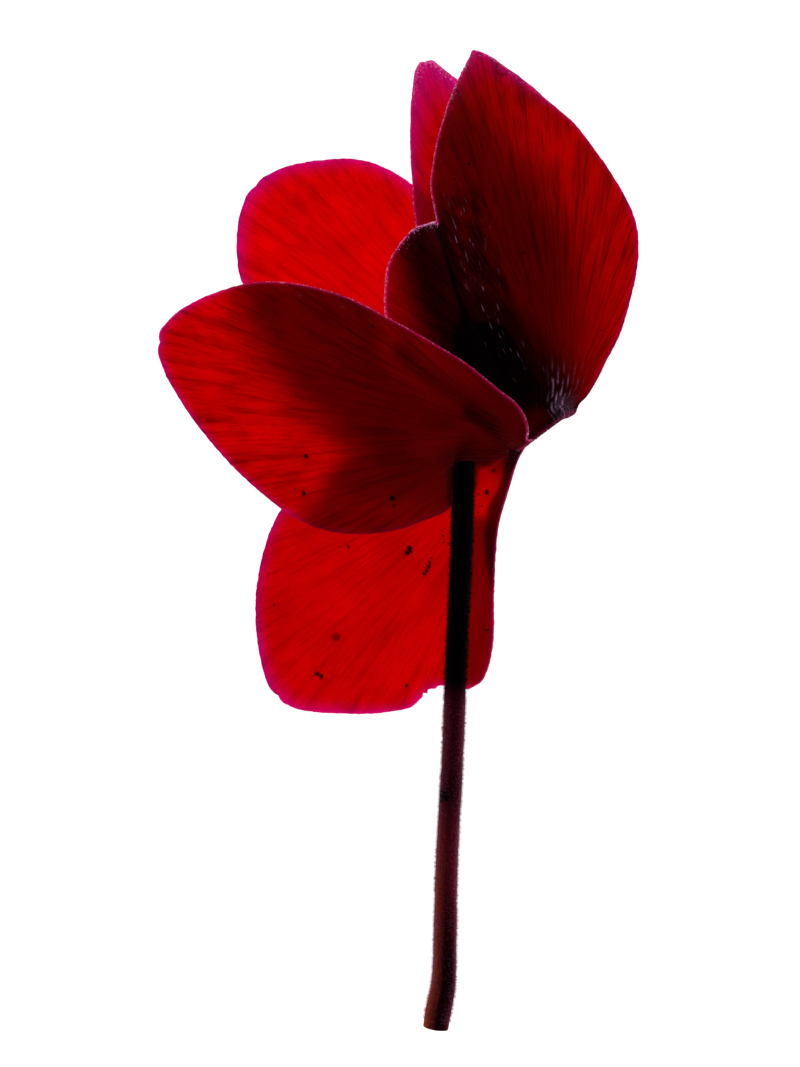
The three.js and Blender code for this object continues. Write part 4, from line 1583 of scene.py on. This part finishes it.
    lower = Petal(
        name="lower_petal", node="petal_lower", station=-122, roll=100, seed=53,
        anchor=(17.1, 13.4),
        left=((16.7, 12.1, 14.5), (15.3, 7.6, 13), (14.0, 2.7, 11.5), (13.5, -2.2, 10),
              (13.35, -7.9, 8), (13.3, -13.6, 6), (12.7, -17.2, 5), (11.5, -19.7, 4),
              (8.8, -20.9, 3.5), (6, -20.3, 2.6), (3.6, -21.3, 1.8), (1.9, -23.1, 1),
              (-2.9, -24.2, -0.4), (-8.6, -24.25, -1), (-13.7, -23.8, -0.4), (-16.6, -22.9, 0.8)),
        middle=((14.7, 11.5, 15.5), (9.8, 8, 13.5), (4.2, 3.4, 11), (-1.1, -3, 8),
                (-6.4, -10.8, 4.5), (-11.7, -17.2, 1.8), (-17.9, -22.1, 0.8)),
        right=((15, 13.9, 18.6), (13.3, 13.8, 17.6), (10.6, 13.3, 16), (7, 13.6, 15.5),
               (1, 13.6, 15.5), (-3.9, 13.6, 15), (-7.9, 12.8, 14), (-11.6, 9.8, 12),
               (-16.2, 5.8, 9), (-18.4, 2, 7), (-19.9, -3, 5), (-20.6, -8, 3.5), (-20.5, -13, 2),
               (-19.7, -17.4, 1), (-18.8, -20.4, 0.8)),
        blush=0.95, tip_blush=0.4, rim_highlight=(0.7, 0.1), rim_highlight_from=-0.1, base_shade=(0.045, 1.6),
        tip_radius=8.0, tip_reach=0.3, clarity=0.93, streak=0.22, torn=(0.585, 0.70),
        shadows=(Shade(((15.6, 13.2), (14.1, 8.1), (12.6, 5.4), (12.0, 1.3), (12.3, -2.7),
                        (13.2, -6.5), (16.0, -6.5), (19.0, 13.2)), 0.35, 0.68),
                 Shadow(((10.2, 8.4), (10.4, 11.4), (12.6, 12.0)), 0.3, 1.2, 0.75),
                 Shadow(((11.0, 1.5), (11.6, -3.5), (12.2, -8.5), (12.0, -14.0), (11.2, -18.0)),
                        1.6, 3.4, 0.43)),
        spots=(Spot(1.3, -0.6, 0.30), Spot(1.0, -1.2, 0.26), Spot(1.5, -1.0, 0.12),
               Spot(4.45, -2.0, 0.05), Spot(4.2, -2.6, 0.12), Spot(4.0, -3.1, 0.22),
               Spot(3.7, -3.7, 0.16), Spot(3.5, -4.2, 0.18), Spot(6.3, 2.2, 0.03),
               Spot(6.1, 1.2, 0.04), Spot(6.2, 0.3, 0.06), Spot(6.8, 0.1, 0.04),
               Spot(5.9, 1.9, 0.02, 0.8), Spot(11.1, 7.0, 0.06), Spot(11.5, 5.4, 0.06),
               Spot(11.0, 4.4, 0.02), Spot(-9.1, -13.2, 0.55, 0.5), Spot(-11.8, -18.5, 0.26),
               Spot(-11.2, -18.9, 0.24), Spot(-7.3, -0.4, 0.2, 0.7), Spot(0.9, -20.1, 0.2, 0.8),
               Spot(13.1, 10.4, 0.2, 0.9), Spot(12.2, 7.3, 0.28), Spot(12.3, -12.2, 0.18, 0.8),
               Spot(-17.9, -8.6, 0.15, 0.6)),
    )
    return [front_left, front_right, back_right, back_left, lower]


# ---- stem -----------------------------------------------------------------------------------


def with_ends(numbers: np.ndarray, shape: tuple[int, int], first: float,
              last: float) -> np.ndarray:
    """The numbers for a tube's rings, and those of the two points that close its ends.

    Args:
        numbers: one for each point, ring or side.
        shape: how many rings and sides there are.
        first: the number of the point at the near end.
        last: the number of the point at the far end.

    Returns:
        One number for each of the tube's points.
    """
    return np.concatenate([np.broadcast_to(numbers, shape).reshape(-1), [first, last]])


@dataclass(frozen=True)
class Stem:
    """The stalk: it hooks over behind the calyx and runs down to its cut end.

    girth is the radius at shares of its length, and cut_rings says how much each ring of the cut
    face shrinks and how deep it lies.
    """

    route: Points = (
        (8.8, 11.6, 18.8), (8.6, -0.8, 16.2), (7.85, -17.7, 12.6), (7.38, -30.5, 9.9),
        (6.6, -45.5, 6.7), (6.4, -56.2, 4.5), (6.15, -62.8, 3.1), (5.45, -66.6, 2.2),
        (5.1, -68.9, 1.8),
    )
    girth: FlatPoints = (
        (0, 1.3), (0.1, 1.4), (0.25, 1.5), (0.5, 1.48), (0.75, 1.52), (0.9, 1.62), (0.95, 1.76),
        (1, 1.84),
    )
    neck: float = -10.0
    neck_length: float = 0.5
    hook_radius: float = 2.6
    hook_steps: int = 6
    rings: int = 520
    sides: int = 56
    bump: float = 0.035
    ribs: int = 7
    rib: float = 0.02
    cut_rings: FlatPoints = ((0.93, 0.10), (0.80, 0.02), (0.6, 0.16), (0.35, 0.22), (0.14, 0.2))
    cut_roughness: float = 0.07
    hairs: int = 36000
    hair_radius: float = 0.024
    hair_length: Range = (0.15, 0.62)
    hair_depth: float = 0.03
    hair_spread: float = 0.32
    hair_lowest: float = 0.05

    def centre_line(self) -> np.ndarray:
        """The route's points, from the neck round the hook to the cut end.

        Returns:
            The points, one a row.
        """
        neck = MOUTH + AXIS * self.neck
        hook = neck - AXIS * self.neck_length - SIDE * self.hook_radius
        full = math.pi - math.acos(SIDE[0])
        angle = np.linspace(0, full, self.hook_steps + 1)[:, None]
        turned_over = hook + self.hook_radius * (SIDE * np.cos(angle) - AXIS * np.sin(angle))
        return np.vstack([neck, turned_over, np.array(self.route)])

    def build(self) -> list[bpy.types.Object]:
        """Builds and dresses the stalk and its short hairs.

        Returns:
            Both pieces.
        """
        share = np.linspace(0, 1, self.rings)
        turn = np.linspace(0, 1, self.sides, endpoint=False)[None]
        line = line_through(self.centre_line(), share)
        radius = self._radius(share, turn)
        rings, out = along_route(line, radius)
        rings[..., 2] = np.maximum(rings[..., 2], 0.0)
        rings, sawn = self._cut_end(rings, line)
        shape = rings.shape[:2]
        far = np.concatenate([share, np.ones(len(rings) - len(share))])[:, None]
        numbers = (
            with_ends(far, shape, 0.0, 1.0),
            with_ends(np.sin(2 * math.pi * turn), shape, 0.0, 0.0),
            with_ends(np.cos(2 * math.pi * turn), shape, 0.0, 0.0),
            with_ends(sawn, shape, 0.0, 1.0),
        )
        stalk = Surface()
        stalk.add(*tube(rings), **dict(zip(STALK_VALUES, numbers)))
        return [stalk.piece("stalk", Slot.STEM, StalkFinish().dress(), "stem"),
                self._fuzz(line, radius, out)]

    def _radius(self, share: np.ndarray, turn: np.ndarray) -> np.ndarray:
        """The stalk's radius: its girth, with drawn bumps and a few ribs that wind slowly.

        Args:
            share: how far along each ring is.
            turn: how far round each side is.

        Returns:
            The radius, rings by sides.
        """
        along = share[:, None]
        radius = np.interp(share, *np.array(self.girth).T)[:, None]
        radius = radius + self.bump * waves(along * 9 + 0.4 * np.sin(2 * math.pi * turn), 5, 5)
        return radius + self.rib * np.cos(2 * math.pi * self.ribs * turn + 2 * along)

    def _cut_end(self, rings: np.ndarray, line: np.ndarray) -> tuple[np.ndarray, np.ndarray]:
        """Closes the far end with a torn, slightly hollow cut.

        Args:
            rings: the stalk's rings.
            line: its centre line.

        Returns:
            All rings, and how much of the cut each point shows.
        """
        end = line[-1]
        draw = np.random.default_rng(77)
        backward = unit(line[-4] - end)
        extra = []
        for shrink, depth in self.cut_rings:
            ring = end + (rings[-1] - end) * shrink
            torn = draw.uniform(-self.cut_roughness, self.cut_roughness, (self.sides, 1))
            extra.append(ring + backward * (depth + torn))
        closed = np.concatenate([rings, np.array(extra)])
        closed[..., 2] = np.maximum(closed[..., 2], 0.0)
        sawn = np.zeros(closed.shape[:2])
        sawn[len(rings) - 1] = 0.6
        sawn[len(rings):] = 1.0
        return closed, sawn

    def _fuzz(self, line: np.ndarray, radius: np.ndarray, out: np.ndarray) -> bpy.types.Object:
        """Short hairs that stand off the stalk, most of them on its flanks.

        Each one is a three-sided spike at a drawn place, which leans a drawn way.

        Args:
            line: the stalk's centre line.
            radius: its radius, rings by sides.
            out: the direction out of each point.

        Returns:
            The piece.
        """
        draw = np.random.default_rng(91)
        ring = draw.integers(8, self.rings - 6, self.hairs)
        side = draw.integers(0, self.sides, self.hairs)
        flank = np.abs(np.cos(2 * math.pi * side / self.sides))
        bare = draw.uniform(0, 1, self.hairs) > 0.3 + 0.7 * flank
        lean = draw.normal(0, self.hair_spread, (self.hairs, 3))
        direction = unit(out[ring, side] + lean)
        reach = radius[ring, side] - self.hair_depth
        root = line[ring] + out[ring, side] * reach[:, None]
        tip = root + direction * draw.uniform(*self.hair_length, self.hairs)[:, None]
        kept = (tip[:, 2] > self.hair_lowest) & ~bare
        root, tip, direction, ring = root[kept], tip[kept], direction[kept], ring[kept]
        first = unit(np.cross(direction, np.array([0.3, 0.5, 0.8])))
        second = np.cross(direction, first)
        corners = [root + self.hair_radius * (first * math.cos(a) + second * math.sin(a))
                   for a in (2 * math.pi * k / 3 for k in range(3))]
        points = np.stack([*corners, tip], 1).reshape(-1, 3)
        start = np.arange(len(root))[:, None] * 4
        spike = ((0, 1, 3), (1, 2, 3), (2, 0, 3), (0, 2, 1))
        hairs = Surface()
        hairs.add(points, [start + np.array(face)[None] for face in spike],
                  along=np.repeat(ring / (self.rings - 1), 4))
        return hairs.piece("stalk_fuzz", Slot.STEM, HairFinish().dress())


# ---- tube, calyx, pistil and anthers --------------------------------------------------------
# Heights run along the head's axis: 0 at the mouth, negative towards the stalk.


@dataclass(frozen=True)
class Tube:
    """A short bulging tube with ten soft ribs, open at both ends: a wall folded round."""

    bottom: float = -7.2
    top: float = 0.32
    outer: float = 3.78
    inner: float = 3.05
    bulge: float = 0.25
    lips: tuple[float, float] = (3.55, 3.3)
    rings: int = 30
    sides: int = 80
    ribs: int = 10
    rib: float = 0.05
    finish: PlainFinish = PlainFinish("tube_skin", (0.13, 0.006, 0.030), (0.05, 0.003, 0.018), 0.42)

    def build(self) -> bpy.types.Object:
        """Builds and dresses the tube, whose bulge is a parabola along it.

        Returns:
            The piece.
        """
        heights = np.concatenate([np.linspace(self.bottom, self.top, self.rings),
                                  np.linspace(self.top, self.bottom, self.rings)])
        bulge = self.bulge * (1 - np.linspace(-1, 1, self.rings) ** 2)
        radii = np.concatenate([self.outer + bulge, (self.inner + bulge)[::-1]])
        radii[self.rings - 1:self.rings + 1] = self.lips
        surface = Surface()
        surface.add(*hoop(around(radii, heights, self.sides, self.ribs, self.rib)))
        return surface.piece("flower_tube", Slot.TUBE, self.finish.dress(), "corolla_tube")


@dataclass(frozen=True)
class Calyx:
    """A shallow saucer on a short neck, with keeled, pointed sepals up the tube."""

    profile: FlatPoints = (
        (POLE, -9.88), (1.45, -9.85), (1.6, -9.2), (2.9, -8.8), (4.3, -8.4), (4.72, -7.95),
        (4.72, -7.55), (4.4, -7.5), (POLE, -7.5),
    )
    rings: int = 46
    sides: int = 60
    rib: float = 0.04
    sepals: int = 5
    sepal_length: float = 5.2
    sepal_half_width: float = 2.1
    sepal_radius: float = 4.65
    sepal_root: float = -7.9
    sepal_rows: int = 26
    sepal_columns: int = 15
    finish: PlainFinish = PlainFinish("calyx_skin", (0.060, 0.030, 0.022), (0.085, 0.012, 0.024),
                                      0.55)

    def build(self) -> bpy.types.Object:
        """Builds and dresses the calyx.

        Returns:
            The piece.
        """
        surface = Surface()
        surface.add(*turned(self.profile, self.rings, self.sides, self.sepals, self.rib))
        for k in range(self.sepals):
            surface.add(*self._sepal(k))
        return surface.piece("sepal_cup", Slot.CALYX, self.finish.dress(), "calyx")

    def _sepal(self, k: int) -> Shape:
        """One sepal, which bends round the tube and thins towards its tip and sides.

        Args:
            k: which one it is.

        Returns:
            The points, and the groups of faces.
        """
        s = np.linspace(0, 1, self.sepal_rows)
        v = np.linspace(-1, 1, self.sepal_columns)[None]
        keel = 1 - np.abs(v)
        taper = np.maximum(0.10, np.sqrt(1 - s**2.2)) * (1 + 0.04 * waves(s, 60 + k, 3))
        half = (self.sepal_half_width / self.sepal_radius) * taper[:, None]
        turn = 2 * math.pi * (k + 0.5) / self.sepals - half * v
        radius = self.sepal_radius + 0.1 * s[:, None] ** 2 + 0.08 * keel - 0.03
        height = np.broadcast_to((self.sepal_root + self.sepal_length * s)[:, None], turn.shape)
        middle = in_head(np.stack([radius * np.cos(turn), height, radius * np.sin(turn)], -1))
        return sheet(middle, 0.2 + 0.3 * keel * (1 - 0.6 * s[:, None]))


@dataclass(frozen=True)
class Pistil:
    """A round ovary that narrows into a thin style with a small knob."""

    profile: FlatPoints = (
        (POLE, -7.2), (1.1, -7.15), (1.4, -6.5), (1.3, -5.7), (0.7, -4.9), (0.33, -4.2),
        (0.3, -2.0), (0.32, 0.1), (0.46, 0.5), (0.34, 0.82), (POLE, 0.9),
    )
    rings: int = 70
    sides: int = 32
    finish: PlainFinish = PlainFinish("pistil_skin", (0.42, 0.10, 0.18), (0.30, 0.16, 0.10), 0.4)

    def build(self) -> bpy.types.Object:
        """Builds and dresses the pistil.

        Returns:
            The piece.
        """
        surface = Surface()
        surface.add(*turned(self.profile, self.rings, self.sides))
        return surface.piece("seed_pistil", Slot.PISTIL, self.finish.dress(), "pistil")


@dataclass(frozen=True)
class Anthers:
    """Grooved anthers on a low ring, which lean together round the style."""

    count: int = 5
    foot_radius: float = 2.3
    foot_height: float = -6.85
    ring_reach: float = 0.36
    ring_rise: float = 0.34
    ring_rows: int = 16
    ring_sides: int = 48
    lean: float = 0.95
    length: float = 5.95
    rows: int = 30
    sides: int = 20
    girth: float = 0.33
    belly: float = 0.27
    point: float = 0.2
    groove: float = 0.22
    groove_width: float = 0.45
    finish: PlainFinish = PlainFinish("anther_skin", (0.52, 0.36, 0.07), (0.36, 0.16, 0.05), 0.6,
                                      900.0)

    def build(self) -> bpy.types.Object:
        """Builds and dresses the ring and the anthers.

        Returns:
            The piece.
        """
        turn = np.linspace(0, 2 * math.pi, self.ring_rows, endpoint=False)
        radii = self.foot_radius + self.ring_reach * np.cos(turn)
        heights = self.foot_height + self.ring_rise * np.sin(turn)
        surface = Surface()
        surface.add(*hoop(around(radii, heights, self.ring_sides)))
        for k in range(self.count):
            surface.add(*self._anther(2 * math.pi * k / self.count))
        material = self.finish.dress()
        return surface.piece("anther_cluster", Slot.ANTHERS, material, "anther_cone")

    def _anther(self, facing: float) -> Shape:
        """One anther: a straight leaning tube with a belly, a point and a groove down its inside.

        Args:
            facing: its angle round the axis.

        Returns:
            The points, and the groups of faces.
        """
        s = np.linspace(0, 1, self.rows)
        turn = np.linspace(0, 2 * math.pi, self.sides, endpoint=False)[None]
        out = np.array([math.cos(facing), 0.0, math.sin(facing)])
        across = np.array([-math.sin(facing), 0.0, math.cos(facing)])
        line = (np.outer(self.foot_radius - self.lean * s, out)
                + np.outer(self.foot_height + self.length * s, [0, 1, 0]))
        girth = self.girth + self.belly * np.sin(math.pi * s) - self.point * ease(0.9, 1.0, s)
        girth = girth[:, None] * (1 - self.groove * bell(turn, math.pi, self.groove_width))
        local = (line[:, None] + (girth * np.cos(turn - math.pi))[..., None] * out
                 + (girth * np.sin(turn - math.pi))[..., None] * across)
        return tube(in_head(local))


# ---- the stage ------------------------------------------------------------------------------


@dataclass(frozen=True)
class Stage:
    """A pale light table, a soft lamp above it, and a camera that looks straight down.

    The sky is bright up to sky_edge's first height and dim from its second, of 1 overhead.
    """

    table_size: float = 6.0
    table_drop: float = 0.00003
    table_colour: Colour = (0.86, 0.86, 0.86)
    table_light: Colour = (1.0, 1.0, 1.0)
    table_glow: float = 1.12
    lamp_place: tuple[float, float, float] = (-0.28, 0.24, 0.55)
    lamp_aim: tuple[float, float, float] = (0.0, 0.01, 0.0)
    lamp_power: float = 0.32
    lamp_size: float = 0.35
    sky_edge: Range = (0.03, 0.20)
    sky_light: tuple[float, float] = (1.05, 0.02)
    lens: float = 188.94
    sensor: float = 36.0
    clip: Range = (0.01, 50.0)

    def build(self) -> None:
        """Makes the table, the lamp, the sky and the camera."""
        self._table()
        self._lamp()
        self._sky()
        self._camera()

    def _table(self) -> None:
        """A flat pale sheet that glows evenly, because the bloom is lit from behind."""
        board = Board("light_table")
        pale = board.skin(Base_Color=self.table_colour, Roughness=0.7,
                          Emission_Color=self.table_light, Emission_Strength=self.table_glow)
        half = self.table_size / 2
        corners = [(x * half, y * half, -self.table_drop)
                   for x, y in ((-1, -1), (1, -1), (1, 1), (-1, 1))]
        mesh = bpy.data.meshes.new("table")
        mesh.from_pydata(corners, [], [(0, 1, 2, 3)])
        mesh.materials.append(board.finish(pale))
        table = bpy.data.objects.new("table", mesh)
        bpy.context.scene.collection.objects.link(table)

    def _lamp(self) -> None:
        """A square soft lamp that faces the flower."""
        light = bpy.data.lights.new("key_lamp", "AREA")
        light.energy = self.lamp_power
        light.size = self.lamp_size
        lamp = bpy.data.objects.new("key_lamp", light)
        lamp.location = self.lamp_place
        aim = unit(np.array(self.lamp_aim) - np.array(self.lamp_place))
        lamp.rotation_euler = (math.acos(-aim[2]), 0.0, math.atan2(aim[0], -aim[1]))
        bpy.context.scene.collection.objects.link(lamp)

    def _sky(self) -> None:
        """White round the horizon, dim overhead, so that nothing pale shines in the petals."""
        world = bpy.data.worlds.new("studio")
        bpy.context.scene.world = world
        world.use_nodes = True
        tree = world.node_tree
        tree.nodes.clear()
        place, split, ramp, sky, out = (tree.nodes.new(f"ShaderNode{kind}") for kind in (
            "TexCoord", "SeparateXYZ", "ValToRGB", "Background", "OutputWorld"))
        for element, edge, light in zip(ramp.color_ramp.elements, self.sky_edge, self.sky_light):
            element.position = edge
            element.color = (light, light, light, 1.0)
        for source, socket in ((place.outputs["Generated"], split.inputs[0]),
                               (split.outputs["Z"], ramp.inputs[0]),
                               (ramp.outputs[0], sky.inputs[0]), (sky.outputs[0], out.inputs[0])):
            tree.links.new(source, socket)

    def _camera(self) -> None:
        """The camera, straight above the middle of the flower."""
        data = bpy.data.cameras.new("camera")
        data.sensor_width = self.sensor
        data.lens = self.lens
        data.clip_start, data.clip_end = self.clip
        camera = bpy.data.objects.new("camera", data)
        camera.location = (0.0, EYE_Y * MM, EYE_HEIGHT * MM)
        bpy.context.scene.collection.objects.link(camera)
        bpy.context.scene.camera = camera


def main() -> None:
    """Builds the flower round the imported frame."""
    logging.basicConfig(level=logging.INFO, format="%(name)s: %(message)s")
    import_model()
    bpy.context.scene.view_settings.view_transform = "Standard"

    petals = {petal.name: petal for petal in flower_petals()}
    finish = PetalFinish()
    pieces = [petal.build(petals, finish) for petal in petals.values()]
    pieces += Stem().build()
    pieces += [organ.build() for organ in (Tube(), Calyx(), Pistil(), Anthers())]
    for piece in pieces:
        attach(piece, "root")
        log.info("%s: %d faces", piece.name, len(piece.data.polygons))
    Stage().build()

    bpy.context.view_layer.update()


if __name__ == "__main__":
    main()
